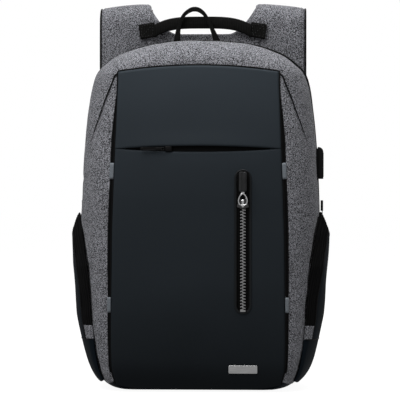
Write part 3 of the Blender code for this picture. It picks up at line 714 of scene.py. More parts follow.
def make_strips():
    """The stretch strips beside the front panel, and the reflective tabs sewn over them."""
    inner = 0.999
    for hand, side in SIDES:
        rows = []
        for z in span(0.02, STRIP_TOP, 150):
            taper = min((STRIP_TOP - z) / 0.06, 1.0) ** 0.5
            outer = inner - 0.037 * max(taper, 0.25)
            rows.append([body_offset(q_at(z, side), outer + (inner - outer) * k / 8,
                                     0.0006 + 0.0009 * sin(pi * k / 8)) for k in range(9)])
        skin(f"panel_strip_{hand}", rows, 0.0008, KNIT, "bag", f"panel_gusset_{hand}")
        for level in ("upper", "lower"):
            node = f"reflective_tab_{level}_{hand}"
            low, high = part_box(node)
            rows = []
            for z in span(low.z, high.z, 12):
                edge = min((z - low.z), (high.z - z)) / 0.0015
                rise = 0.0014 + 0.0011 * clamp(edge) ** 0.5
                rows.append([body_offset(q_at(z, side), 0.9625 + 0.036 * k / 6,
                                         rise - 0.0004 * (abs(k - 3) / 3) ** 4) for k in range(7)])
            skin(f"reflective_{level}_{hand}", rows, 0.0006, REFLECTIVE, "bag", node)


# ---- front panel

SLIT_Z = 0.311
SLIT_HALF_HEIGHT = 0.0036
SLIT_HALF_LENGTH = 0.1
PANEL_LOW, PANEL_HIGH = 0.0035, 0.418


def panel_top(s):
    return PANEL_HIGH - 0.008 * abs(s) ** 2.0


def panel_bottom(s):
    return PANEL_LOW + 0.006 * abs(s) ** 6


def slit_half(s):
    reach = abs(s) * rim_half_width(SLIT_Z) / SLIT_HALF_LENGTH
    return 0.0002 + SLIT_HALF_HEIGHT * max(1 - reach**2, 0.0)


def rolled(distance, radius):
    """How far a folded edge has dropped at this distance from it: a quarter circle."""
    if distance >= radius:
        return 0.0
    return radius - sqrt(max(radius**2 - (radius - distance) ** 2, 0.0))


def panel_point(s, z):
    """Outer surface of the front panel: crowned, and rolled under at its outline and at the slit."""
    half = rim_half_width(z)
    middle = (z - 0.21) / 0.21
    crown = PANEL_CROWN * (1 - s**2) * (1 - min(abs(middle), 1.0) ** 4)
    edge = min((1 - abs(s)) * half, panel_top(s) - z, z - panel_bottom(s) + 0.004)
    drop = rolled(max(edge, 0.0), 0.003)
    gap = z - SLIT_Z
    near = abs(gap) - slit_half(s)
    inside = max(1 - (abs(s) * half / SLIT_HALF_LENGTH) ** 2, 0.0)
    if gap > 0:
        crown += (0.0004 + 0.0016 * inside) * bell(near, 0.014)
    else:
        crown -= 0.0008 * inside * bell(near, 0.01)
    drop += rolled(max(near, 0.0), 0.0022) * (0.35 + 0.65 * min(inside * 4, 1.0))
    place = Vector((s * half, front_y(z) - PANEL_RISE - crown + drop, z))
    place.y += ripple(place, 0.09, 0.0011, 2.0)
    return place


def face_y(x, z):
    return panel_point(x / rim_half_width(z), z).y


def dense(low, high, count, edge=0.004, steps=6):
    """Rows from low to high that crowd together at both ends, where the cloth is rolled under."""
    first = [low + edge * (k / steps) ** 2 for k in range(steps)]
    final = [high - edge * (k / steps) ** 2 for k in reversed(range(steps))]
    return first + span(low + edge, high - edge, count) + final


def make_panel():
    across = dense(-1.0, 1.0, 60, 0.035)
    upper = [[panel_point(s, z) for z in dense(SLIT_Z + slit_half(s), panel_top(s), 26)] for s in across]
    skin("panel_cloth_upper", upper, 0.0022, PANEL, "bag", "front_panel_upper")
    lower = [[panel_point(s, z) for z in dense(panel_bottom(s), SLIT_Z - slit_half(s), 70)] for s in across]
    panel = skin("panel_cloth_lower", lower, 0.0022, PANEL, "bag", "front_panel_lower")
    edges = [(1.0, z) for z in span(panel_bottom(1.0), panel_top(1.0), 90)]
    edges += [(s, panel_top(s)) for s in span(1.0, -1.0, 60)[1:]]
    edges += [(-1.0, z) for z in span(panel_top(1.0), panel_bottom(1.0), 90)[1:]]
    tube("panel_piping", [Vector((s * rim_half_width(z) + 0.0006 * s, front_y(z) - 0.0004,
                                  z + (0.0008 if abs(s) < 1 else 0.0))) for s, z in edges], 0.0009)
    return panel


def apply_modifiers(obj):
    bpy.context.view_layer.update()
    graph = bpy.context.evaluated_depsgraph_get()
    mesh = bpy.data.meshes.new_from_object(obj.evaluated_get(graph), preserve_all_data_layers=True,
                                           depsgraph=graph)
    obj.modifiers.clear()
    obj.data = mesh


def mesh_from(name, cage, angle=40):
    mesh = bpy.data.meshes.new(name)
    bmesh.ops.recalc_face_normals(cage, faces=cage.faces)
    cage.to_mesh(mesh)
    cage.free()
    mesh.shade_smooth()
    mesh.set_sharp_from_angle(angle=radians(angle))
    return mesh


def stadium(width, height, centre=(0.0, 0.0)):
    """Closed outline of a slot with round ends, its long side upright."""
    radius, straight, steps = width / 2, height / 2 - width / 2, 24
    points = []
    for end in (1, -1):
        for k in range(steps + 1):
            turn = pi * k / steps + (0 if end > 0 else pi)
            x, z = radius * cos(turn), end * straight + radius * sin(turn)
            points.append((centre[0] + x, centre[1] + z))
    return points


def raised(cage, outline, place, depth):
    """Adds a flat plate of this outline, standing at place and this deep."""
    wall = cage.faces.new([cage.verts.new(place + Vector((x, 0.0, z))) for x, z in outline])
    moved = bmesh.ops.extrude_face_region(cage, geom=[wall])["geom"]
    verts = [item for item in moved if isinstance(item, bmesh.types.BMVert)]
    bmesh.ops.translate(cage, vec=(0, depth, 0), verts=verts)


def block(name, size, centre, bevel, material, rides="bag", node=None):
    cage = bmesh.new()
    block_mesh(cage, size, centre, None, bevel)
    return add(name, mesh_from(name, cage), material, rides, node)


# ---- front zip, slit zip and plate

RIM_LOW, RIM_HIGH, RIM_MIDDLE = box_of("front_zip_rim")
ZIP_X, ZIP_MIDDLE, ZIP_LOW, ZIP_HIGH = RIM_MIDDLE.x, RIM_MIDDLE.z, RIM_LOW.z, RIM_HIGH.z
RIM_WIDTH = RIM_HIGH.x - RIM_LOW.x
RIM_WALL = 0.00275


def cut_zip_slot(panel):
    """Opens the panel behind the vertical zip."""
    width, height = RIM_WIDTH - 2 * RIM_WALL + 0.001, ZIP_HIGH - ZIP_LOW - 0.006
    cage = bmesh.new()
    raised(cage, stadium(width, height, (ZIP_X, ZIP_MIDDLE)), Vector((0.0, -0.1, 0.0)), 0.05)
    cutter = bpy.data.objects.new("cutter", mesh_from("cutter", cage))
    bpy.context.scene.collection.objects.link(cutter)
    boolean = panel.modifiers.new("slot", "BOOLEAN")
    boolean.object = cutter
    boolean.operation = "DIFFERENCE"
    boolean.solver = "EXACT"
    apply_modifiers(panel)
    bpy.data.objects.remove(cutter, do_unlink=True)


def make_front_zip():
    width, height = RIM_WIDTH - RIM_WALL, ZIP_HIGH - ZIP_LOW - RIM_WALL
    outline = even_loop(stadium(width, height, (ZIP_X, ZIP_MIDDLE)), 220)
    straight = height / 2 - width / 2

    def outward(t):
        x, z = outline[round(t * 220) % 220]
        end = min(max(z - ZIP_MIDDLE, -straight), straight) + ZIP_MIDDLE
        return Vector((x - ZIP_X, 0.0, z - end)).normalized()

    path = [Vector((x, face_y(x, z) - 0.0002, z)) for x, z in outline]
    sweep("front_zip_frame", path, outward, RIM_WALL, 0.002, ring(14, "pad"), RIM, "bag", "front_zip_rim",
          loop=True)
    inner = even_loop(stadium(width - RIM_WALL - 0.0004, height - RIM_WALL, (ZIP_X, ZIP_MIDDLE)), 200)
    path = [Vector((x, face_y(x, z) - 0.0009, z)) for x, z in inner]
    tube("front_zip_bead", path, 0.00035, RUBBER, sides=6, loop=True)

    low, high, middle = box_of("front_zip_teeth")
    deep, pitch = middle.y, 0.0039
    cage = bmesh.new()
    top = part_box("front_zip_slider")[0].z + 0.0015
    for k in range(int((top - low.z) / pitch)):
        for side in (-1, 1):
            z = low.z + (k + 0.35 + 0.25 * side) * pitch
            lean = Matrix.Rotation(side * radians(20), 4, "Y")
            block_mesh(cage, (0.0042, 0.0015, 0.0013), (ZIP_X + side * 0.0008, deep, z), lean, 0.0005)
            block_mesh(cage, (0.0014, 0.0019, 0.0017), (ZIP_X + side * 0.0027, deep, z - 0.0007), None, 0.0005)
    add("front_zip_chain", mesh_from("front_zip_chain", cage), GUNMETAL, "bag", "front_zip_teeth")
    for hand, side in SIDES:
        heights = span(low.z - 0.004, high.z + 0.046, 60)
        path = [Vector((ZIP_X + side * 0.0046, deep + 0.0006, z)) for z in heights]
        tube(f"front_zip_cord_{hand}", path, 0.0006, TAPE, sides=6)
    block("front_zip_stop", (0.007, 0.0018, 0.0024), (ZIP_X, deep, low.z - 0.0016), 0.0006, GUNMETAL)


def make_front_slider():
    low, high, middle = box_of("front_zip_slider")
    face = low.y
    cage = bmesh.new()
    half = [(0.0036, -0.0064), (0.004, -0.002), (0.005, 0.003), (0.0048, 0.0062), (0.002, 0.0058)]
    outline = [(-0.0036, -0.0064), *half, (0.0, 0.0044), *((-x, z) for x, z in half[:0:-1])]
    for y in (face + 0.0011, high.y - 0.0002):
        raised(cage, outline, Vector((middle.x, y - 0.0006, middle.z)), 0.001)
    block_mesh(cage, (0.003, 0.003, 0.003), (middle.x, (face + high.y) / 2, middle.z + 0.003), None, 0.0004)
    for side in (-1, 1):
        lean = Matrix.Rotation(side * radians(-14), 4, "Y")
        place = (middle.x + side * 0.0051, high.y - 0.0016, low.z + 0.0034)
        block_mesh(cage, (0.0042, 0.0022, 0.0046), place, lean, 0.0006)
    edges = [edge for edge in cage.edges if len(edge.link_faces) == 2 and edge.calc_face_angle(0) > 0.6]
    bmesh.ops.bevel(cage, geom=edges, offset=0.0003, segments=2, affect="EDGES", profile=0.5)
    mesh = mesh_from("front_slider_body", cage)
    # The slider body takes the darkened metal as painted shade and dark reflections inside the ring.
    add("front_slider_body", mesh, SHADED_SLIDER_METAL, "front_zip_slider", "front_zip_slider")
    path = smooth_path([(middle.x, face + y, middle.z + z) for y, z in (
        (0.001, -0.0048), (-0.0004, -0.0036), (-0.001, 0.0006), (-0.0006, 0.004), (0.0008, 0.0052))], 24)
    sweep("front_slider_bridge", path, ACROSS, 0.003, 0.0009, ring(12, "pad"), SILVER, "front_zip_slider")


def make_front_puller():
    """A teardrop link, a clamp and a bar that is pinched at its ends and grooved along its middle."""
    low, _, middle = box_of("front_zip_puller")
    deep = middle.y
    half = [(0.0, -0.0074), (0.004, -0.006), (0.0055, -0.0014), (0.0042, 0.0034), (0.0019, 0.0066),
            (0.0, 0.0074)]
    outline = half + [(-x, z) for x, z in half[-2:0:-1]]
    keys = [(ZIP_X + x, deep, low.z - 0.0006 + z) for x, z in outline]
    path = even_loop([tuple(point) for point in smooth_path(keys + keys[:1], 120)], 90)
    tube("front_puller_link", [Vector(point) for point in path], 0.00085, SILVER, "front_zip_puller", sides=12,
         loop=True)
    block("front_puller_clamp", (0.0044, 0.0022, 0.0026), (ZIP_X, deep + 0.0003, low.z + 0.008), 0.0008, SILVER,
          "front_zip_puller")
    bar_low = low.z + 0.0095
    length = 0.2815 - bar_low

    def width(t):
        end = min(t, 1 - t) * length / 0.004
        return 0.0042 + 0.0056 * sqrt(max(1 - (1 - min(end, 1.0)) ** 2, 0.0))

    def groove(t, a, b):
        depth = 0.0011 * bell(abs(a) - 0.24, 0.09) if 0.12 < t < 0.93 else 0.0
        return depth * (1 if b > 0 else -1)

    path = [Vector((ZIP_X, deep, bar_low + length * t)) for t in dense(0.0, 1.0, 22, 0.16, 8)]
    sweep("front_puller_bar", path, ACROSS, width, 0.0026, ring(28, "pad"), GLOSS, "front_zip_puller",
          "front_zip_puller", groove)


def make_slit_zip():
    low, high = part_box("slit_zip_tape")
    path = [Vector((x, face_y(x, SLIT_Z) + 0.003, SLIT_Z)) for x in span(low.x + 0.001, high.x - 0.001, 220)]
    sweep("slit_zip_coil", path, UPWARD, 0.004, 0.0016, ring(8), RUBBER,
          lift=lambda t, a, b: COIL_DEPTH * sin(t * 220 * pi))
    hard_copy("slit_slider", "slit_zip_slider", 0.0005, PIPING, "slit_zip_slider")
    low, high, middle = box_of("slit_zip_puller")
    path = [Vector((x, middle.y, SLIT_Z)) for x in span(high.x - 0.0034, low.x, 60)]

    def width(t):
        end = sqrt(max(1 - max(t - 0.93, 0.0) ** 2 / 0.007, 0.05))
        return 0.0044 * (0.72 + 0.28 * min(t / 0.1, 1.0)) * end

    sweep("slit_puller_strip", path, UPWARD, width, 0.0016, ring(14, "pad"), PIPING, "slit_zip_puller",
          "slit_zip_puller",
          lift=lambda t, a, b: (-0.0004 if 0.25 < t < 0.9 and abs(a) < 0.32 else 0.0) * (1 if b > 0 else -1))
    link = even_loop(stadium(0.003, 0.0066), 40)
    path = [Vector((high.x - 0.003 + z, middle.y, SLIT_Z + x)) for x, z in link]
    tube("slit_puller_link", path, 0.0004, PLASTIC, "slit_zip_puller", loop=True)


# ---- side pockets

POCKET_REAR_Y = 0.04
POCKET_FRONT_V = [(0.0, 0.78), (0.04, 0.77), (0.1, 0.758), (0.16, 0.735), (0.2, 0.66), (0.224, 0.56)]
POCKET_BULGE = 0.0103
POCKET_STANDOFF = 0.0042
POCKET_LOW, POCKET_HIGH, MOUTH_DIP = 0.012, 0.2235, 0.026
SEAM_AT_MOUTH = 0.682
PATCH_LOW, PATCH_HIGH = 0.066, 0.084


def pocket_point(side, u, z, extra=0.0):
    """Outer surface of a side pocket: u is 0 at its rear seam and 1 at its front seam."""
    rear = v_at(POCKET_REAR_Y)
    front = float(np.interp(z, *zip(*POCKET_FRONT_V)))
    v = rear + (front - rear) * u
    swell = POCKET_BULGE * clamp((z - POCKET_LOW) / 0.085) ** 0.7
    slack = 0.6 + 0.9 * clamp((z - 0.16) / 0.04)
    swell *= max(sin(pi * clamp(u)), 0.0) ** slack
    return body_offset(q_at(z, side), v, POCKET_STANDOFF + swell + extra)


def mouth_z(u):
    return POCKET_HIGH - MOUTH_DIP * sin(pi * u) ** 1.5


def pocket_seam(z):
    return 0.87 - 0.13 * max((z - 0.12) / 0.065, 0.0) ** 1.5


def pocket_cloth(side, u, z, extra=0.0):
    """The pocket's surface with soft folds, and pulled in along its sewn edges."""
    place = pocket_point(side, u, z)
    fold = ripple((place.x * 1.0, place.y, place.z * 0.6), 0.034, 0.0013, side * 3.0)
    fade = min(u / 0.1, (1 - u) / 0.1, 1.0)
    edge = 0.0016 * bell(u, 0.025) + 0.0016 * bell(1 - u, 0.025)
    return pocket_point(side, u, z, fold * max(fade, 0.0) - edge + extra)


def gathered(side, u, z, extra=0.0):
    """Stretch gusset: drawn into small folds that run down from the elastic mouth."""
    top = mouth_z(u)
    depth = exp(-max(top - z, 0.0) / 0.045)
    fold = 0.0009 * sin(u * 130 + 2.0 * sin(z * 60)) * depth
    fold += ripple((u * 0.12, side, z), 0.022, 0.0012) * (1 - depth)
    return pocket_cloth(side, u, z, fold + extra)


def make_pocket(hand, side):
    def sheet(name, rows, thickness, material, node):
        skin(f"pocket_{name}_{hand}", rows, thickness, material, "bag", f"pocket_{node}_{hand}")

    def cord(name, path, radius):
        tube(f"pocket_{name}_{hand}", path, radius)

    rows = []
    for w in span(0.0, 1.0, 64):
        row = []
        for k in span(0.0, 1.0, 34):
            z = PATCH_LOW + (mouth_z(k * SEAM_AT_MOUTH) - PATCH_LOW) * w
            seam = pocket_seam(z)
            near = k * seam - seam
            row.append(pocket_cloth(side, k * (seam - 0.002), z, -0.0012 * bell(near, 0.02)))
        rows.append(row)
    sheet("cloth", rows, 0.002, NAVY, "shell")
    rows = []
    for w in span(0.0, 1.0, 64):
        row = []
        for k in span(0.0, 1.0, 30):
            z = PATCH_HIGH + (mouth_z(SEAM_AT_MOUTH + (1 - SEAM_AT_MOUTH) * k) - PATCH_HIGH) * w
            row.append(gathered(side, pocket_seam(z) + 0.002 + (0.998 - pocket_seam(z)) * k, z, -0.0006))
        rows.append(row)
    sheet("stretch", rows, 0.0012, KNIT, "gusset")
    rows = [[pocket_cloth(side, 0.872 + 0.128 * k, z, -0.0003) for k in span(0.0, 1.0, 16)]
            for z in span(PATCH_LOW, PATCH_HIGH, 14)]
    sheet("side_patch", rows, 0.0016, GREY, "patch")
    rows = [[pocket_cloth(side, u, z) for u in span(0.0, 1.0, 50)] for z in span(POCKET_LOW, PATCH_LOW, 26)]
    sheet("base", rows, 0.002, NAVY, "foot")

    heights = span(PATCH_LOW, mouth_z(SEAM_AT_MOUTH), 60)
    cord("seam", [pocket_cloth(side, pocket_seam(z), z, -0.0002) for z in heights], 0.001)
    for name, u in (("front", 1.0), ("rear", 0.0)):
        heights = span(POCKET_LOW + 0.002, mouth_z(u) - 0.001, 70)
        cord(f"{name}_cord", [pocket_cloth(side, u, z, -0.003) for z in heights], 0.0012)
    cord("foot_cord", [pocket_cloth(side, u, PATCH_LOW, -0.0002) for u in span(0.01, 0.99, 50)], 0.0008)
    hem = [pocket_point(side, u, mouth_z(u) + 0.0018, -0.001) for u in span(0.01, 0.99, 70)]
    sweep(f"pocket_binding_{hand}", hem, UPWARD, 0.0068, 0.003, ring(14, "pad"), WEBBING, "bag",
          f"pocket_hem_{hand}", lambda t, a, b: 0.0002 * sin(t * 300) * (1 if b > 0 else -1))


# ---- side fittings


def corners(low_y, high_y, low_z, high_z, count):
    return even_loop([(low_y, low_z), (high_y, low_z), (high_y, high_z), (low_y, high_z)], count)


def make_usb():
    hard_copy("usb_case", "usb_housing", 0.0009, PLASTIC)
    low, high, middle = box_of("usb_housing")
    inset = 0.003
    outline = corners(low.y + inset, high.y - inset, low.z + inset, high.z - 2.6 * inset, 80)
    path = [Vector((high.x + 0.0001, y, z)) for y, z in outline]
    tube("usb_case_line", path, 0.00035, RUBBER, sides=6, loop=True)
    path, gaps = [], []
    for z in span(low.z + 0.0012, high.z - 0.0022, 14):
        surface = body(q_at(z, 1), v_at(middle.y)).x
        path.append(Vector(((surface + low.x + 0.0015) / 2, middle.y, z)))
        gaps.append(max(low.x - surface, 0.0) + 0.003)
    sweep("usb_case_seat", path, DEPTH, high.y - low.y - 0.002, lambda t: gaps[round(t * 14)], ring(20, "band"),
          PLASTIC)
    outline = corners(low.y - 0.002, high.y + 0.002, low.z - 0.001, high.z + 0.002, 90)
    path = [Vector((body(q_at(z, 1), v_at(y)).x + 0.0003, y, z)) for y, z in outline]
    tube("usb_patch_cord", path, 0.0009, loop=True)


def make_main_runners():
    def strip_width(t):
        return 0.0034 + 0.0022 * sin(pi * min(max(t, 0.02), 0.98)) ** 0.3

    for hand, side in SIDES:
        slider, puller = f"main_zip_slider_{hand}", f"main_zip_puller_{hand}"
        hard_copy(f"main_slider_{hand}", slider, 0.0006, GUNMETAL, slider)
        low, high, middle = box_of(slider)
        out = high.x if side > 0 else low.x
        path = smooth_path([(out + side * x, middle.y, middle.z + z) for x, z in (
            (-0.0004, -0.0036), (0.0008, -0.0022), (0.001, 0.002), (-0.0004, 0.0036))], 20)
        sweep(f"main_bridge_{hand}", path, DEPTH, 0.0022, 0.0007, ring(10, "pad"), GUNMETAL, slider)
        low, high, middle = box_of(puller)
        link = even_loop(stadium(0.004, 0.007), 40)
        path = [Vector((middle.x, middle.y + x, low.z + 0.0012 + z)) for x, z in link]
        tube(f"main_puller_link_{hand}", path, 0.00055, GUNMETAL, puller, loop=True)
        path = [Vector((middle.x - side * 0.0006, middle.y, low.z + 0.003 + (high.z - low.z - 0.003) * t))
                for t in dense(0.0, 1.0, 20, 0.14, 6)]
        sweep(f"main_puller_strip_{hand}", path, DEPTH, strip_width, 0.0034, ring(14, "pad"), TAPE, puller,
              puller)


# ---- back, straps, handle and inside


def pillow(name, outline, low_y, high_y, roll, material, rides, node, relief, steps):
    """A closed flat cushion facing the rear: a round edge, and relief(x, z) added to its rear face."""
    centre = np.mean(np.array(outline), axis=0)
    middle, half = (low_y + high_y) / 2, (high_y - low_y) / 2
    rows = []
    for x, z in outline:
        reach = hypot(x - centre[0], z - centre[1])
        profile = [(reach - (reach - roll) * k / steps, high_y) for k in range(steps)]
        for k in range(9):
            turn = pi / 2 - pi * k / 8
            profile.append((roll * (1 - cos(turn)), middle + half * sin(turn)))
        profile += [(roll + (reach - roll) * k / 4, low_y) for k in range(1, 5)]
        row = []
        for inset, y in profile:
            share = 1 - inset / reach
            px, pz = centre[0] + (x - centre[0]) * share, centre[1] + (z - centre[1]) * share
            lift = relief(px, pz) * clamp((inset - roll) / 0.006) if y == high_y else 0.0
            row.append(Vector((px, y + lift, pz)))
        rows.append(row)
    mesh = grid_mesh(name, rows + rows[:1])
    close_up(mesh, joined=True)
    return add(name, mesh, material, rides, node)


PAD_VOXEL, PAD_PRESSURE, PAD_FRAMES = 0.0045, 4.0, 20


def puffed(name, size, centre, cap, material, rides, node, relief):
    """A padded block: its cover is inflated as cloth, held to within cap of where it began, then quilted."""
    obj = block(name, size, centre, min(size) * 0.42, material, rides, node)
    remesh = obj.modifiers.new("remesh", "REMESH")
    remesh.mode = "VOXEL"
    remesh.voxel_size = PAD_VOXEL
    apply_modifiers(obj)
    start = [vertex.co.copy() for vertex in obj.data.vertices]
    cloth = obj.modifiers.new("cloth", "CLOTH")
    cloth.settings.use_pressure = True
    cloth.settings.uniform_pressure_force = PAD_PRESSURE
    cloth.settings.effector_weights.gravity = 0.0
    cloth.settings.quality = 5
    cloth.point_cache.frame_start, cloth.point_cache.frame_end = 1, PAD_FRAMES
    for number in range(1, PAD_FRAMES + 1):
        bpy.context.scene.frame_set(number)
    apply_modifiers(obj)
    for vertex, origin in zip(obj.data.vertices, start):
        moved = vertex.co - origin
        if moved.length > cap:
            vertex.co = origin + moved * (cap / moved.length)
    bpy.context.scene.frame_set(1)
    subdivided = obj.modifiers.new("smooth", "SUBSURF")
    subdivided.levels = subdivided.render_levels = 1
    apply_modifiers(obj)
    for vertex in obj.data.vertices:
        if vertex.co.y > centre[1]:
            vertex.co.y += relief(vertex.co.x, vertex.co.z)
        vertex.co.y = max(vertex.co.y, centre[1] - size[1] / 2 - 0.0008)
    obj.data.materials.clear()
    obj.data.materials.append(material)
    obj.data.shade_smooth()


def arch(scale_x, low, drop):
    """The body's outline, narrowed, cut flat at its foot and lowered at its top."""
    outline = [around(BODY_OUTLINE, q) for q in span(q_at(low, 1), 2 - q_at(low, 1), 160)]
    return [(x * scale_x, max(low, z - drop * z / BODY_HEIGHT)) for x, z in outline]


def lattice(x, z):
    """Quilting of the back panel: soft diamonds."""
    return -0.0012 * (1 - abs(sin(pi * (x + z) / 0.034) * sin(pi * (x - z) / 0.034)) ** 0.5)


def channels(x, z):
    """Sewn channels across a back pad."""
    across = abs((z - 0.222 + 0.0275) % 0.055 - 0.0275)
    return -0.004 * bell(across, 0.0036) + 0.0006 * cos(2 * pi * (z - 0.222) / 0.055)


def make_back():
    low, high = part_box("back_panel")
    outline = even_loop(arch(0.985, low.z, 0.006), 200)
    back = pillow("back_cloth", outline, low.y, high.y - 0.0004, 0.0045, MESH, "back", "back_panel", lattice,
                  40)
    tube("back_binding", [Vector((x, high.y - 0.0035, z)) for x, z in outline], 0.0018, rides="back", loop=True)
    for hand, _ in SIDES:
        low, high, middle = box_of(f"back_pad_{hand}")
        size = high - low
        puffed(f"back_cushion_{hand}", (size.x - 0.007, size.y - 0.005, size.z - 0.008),
               (middle.x, middle.y - 0.0018, middle.z), 0.004, MESH, "back", f"back_pad_{hand}", channels)
        square = [(middle.x + sx * (size.x / 2 - 0.001), middle.z + sz * (size.z / 2 - 0.001))
                  for sx, sz in ((1, -1), (1, 1), (-1, 1), (-1, -1))]
        edge = [Vector((x, low.y + 0.0012, z)) for x, z in even_loop(square, 160)]
        tube(f"back_cushion_cord_{hand}", edge, 0.0013, rides="back", loop=True)


YOKE_DIP, YOKE_FLAT, YOKE_WING, YOKE_REACH = 0.4665, 0.034, 0.033, 0.0755


def yoke_top(x):
    """The yoke's scooped top edge: flat at the middle, and its corners run up onto the straps."""
    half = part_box("yoke")[1].x
    rise = max(min(abs(x), 0.0715) - YOKE_FLAT, 0.0) / (half - YOKE_FLAT)
    return YOKE_DIP + YOKE_WING * rise ** 1.8


def make_yoke():
    """A padded cloth whose top half is thinner, and whose ends lie over the straps' inner edges."""
    low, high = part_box("yoke")
    front, rear = low.y + 0.0003, high.y - 0.0003
    bend = STRAP_BEND + STRAP_THICKNESS / 2
    rows = []
    for x in span(-YOKE_REACH, YOKE_REACH, 120):
        near_strap = clamp((abs(x) - 0.0655) / 0.0045)
        near_strap *= near_strap * (3 - 2 * near_strap)
        over = clamp((abs(x) - 0.07) / 0.0055)
        top = yoke_top(x)
        face, tail = [], []
        for w in span(0.0, 1.0, 40):
            z = low.z + (top - low.z) * w
            back_step = 0.003 * clamp((z - 0.446) / 0.012) * (1 - near_strap)
            soft = ripple((x, 0.0, z), 0.03, 0.0008)
            lean = bend - sqrt(bend**2 - min(max(z - STRAP_TOP + bend, 0.0), 0.9 * bend) ** 2)
            round_top = 0.0022 * (1 - sqrt(max(1 - max((z - top + 0.003) / 0.003, 0.0) ** 2, 0.0)))
            start = front + back_step - 0.0007 * near_strap + soft * (1 - near_strap) + lean
            end = rear - soft - 0.007 * over + lean
            face.append(Vector((x, start + round_top, z)))
            tail.append(Vector((x, max(end - round_top, start + 0.0012), z)))
        rows.append(face + tail[::-1])
    mesh = grid_mesh("yoke_cloth", rows, closed=True)
    close_up(mesh)
    add("yoke_cloth", mesh, GREY_DARK, "back", "yoke")
    path = [Vector((x, high.y + 0.0002, low.z + 0.005)) for x in span(-high.x + 0.004, high.x - 0.004, 10)]
    stitches("yoke_stitches", path, DEPTH)


STRAP_X = 0.1045
STRAP_STEPS = 150
STRAP_THICKNESS = 0.012
STRAP_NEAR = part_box("shoulder_strap_left")[0].y + STRAP_THICKNESS / 2
STRAP_BEND = 0.0195
STRAP_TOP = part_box("shoulder_strap_left")[1].z
STRAP_WIDTHS = [(0.0, 0.067), (0.46, 0.067), (0.62, 0.065), (0.8, 0.061), (0.92, 0.054), (1.0, 0.044)]


def strap_keys(side):
    """Centre line of a shoulder strap, from the yoke up, over and down behind the back pads."""
    top = STRAP_TOP - STRAP_THICKNESS / 2 - STRAP_BEND
    keys = [(STRAP_X, STRAP_NEAR, 0.392), (STRAP_X, STRAP_NEAR, 0.43), (STRAP_X, STRAP_NEAR, top)]
    for k in range(1, 8):
        turn = pi * k / 8
        y, z = STRAP_NEAR + STRAP_BEND * (1 - cos(turn)), top + STRAP_BEND * sin(turn)
        keys.append((STRAP_X, y, z))
    keys.append((STRAP_X, STRAP_NEAR + 2 * STRAP_BEND, top))
    keys += [(STRAP_X + x, y, z) for x, y, z in (
        (-0.003, 0.1165, 0.425), (-0.006, 0.112, 0.37), (-0.007, 0.1085, 0.3), (-0.003, 0.106, 0.23),
        (0.003, 0.105, 0.165), (0.006, 0.1045, 0.135))]
    return [(side * x, y, z) for x, y, z in keys]


def strap_width(t):
    return float(np.interp(t, *zip(*STRAP_WIDTHS)))


def make_straps():
    for hand, side in SIDES:
        path = smooth_path(strap_keys(side), STRAP_STEPS)
        last = STRAP_STEPS

        def lean(t):
            """How much higher the inner edge stands where the strap turns over."""
            return 0.006 * bell(t - 0.235, 0.07)

        def wave(t, a, b):
            soft = ripple((a * 0.05 + side, 0.0, t * 0.55), 0.05, 0.001) * (1 - abs(2 * a))
            soft += a * side * lean(t)
            return soft - (0.0012 if b < 0 else -0.0006) * 0.5 * exp(-((0.44 - abs(a)) / 0.02) ** 2)

        def thinner(full, by):
            """A thickness that falls off at the strap's lower end, where it meets the ladder lock."""
            return lambda t: full - by * max((t - 0.94) / 0.06, 0.0)

        cloth = path[:last] + [path[last].lerp(path[last - 1], 0.5)]
        strap = sweep(f"strap_cloth_{hand}", cloth, ACROSS, strap_width,
                      thinner(STRAP_THICKNESS - 0.0012, 0.0056), ring(44, "pad"), GREY_DARK, "back",
                      f"shoulder_strap_{hand}", wave)
        ups = [(path[min(i + 1, last)] - path[max(i - 1, 0)]).cross(Vector(ACROSS)).normalized()
               for i in range(last + 1)]
        inner = [centre + up * (STRAP_THICKNESS / 2 - 0.0006) for centre, up in zip(path, ups)]
        sweep(f"strap_mesh_{hand}", inner, ACROSS, lambda t: strap_width(t) * 0.84,
              thinner(0.0016, 0.0006), ring(24, "band"), MESH, "back",
              lift=lambda t, a, b: a * 0.84 * side * lean(t))
        for edge in (-1, 1):
            word, first = ("outer", 0) if edge == side else ("inner", 40)

            def along(i, inset, height):
                """A point beside the strap's edge, so far in from it and so far off the middle plane."""
                reach = edge * (strap_width(i / last) / 2 - inset)
                slope = side * lean(i / last) * reach / strap_width(i / last)
                return path[i] + Vector((reach, 0, 0)) + ups[i] * (height + slope)

            cord = [along(i, 0.0002, 0.0) for i in range(first, last + 1)]
            sweep(f"strap_binding_{word}_{hand}", cord, ACROSS, 0.003, 0.0085, ring(14, "pad"), PIPING,
                  "back")
            seam = [along(i, 0.0055, -0.0046) for i in range(first, last - 8)]
            stitches(f"strap_stitches_{word}_{hand}", seam, (0, 0, 0))
        lock = f"ladder_lock_{hand}"
        hard_copy(f"ladder_frame_{hand}", lock, 0.0007, PLASTIC, lock)
        make_lower_strap(hand, side)


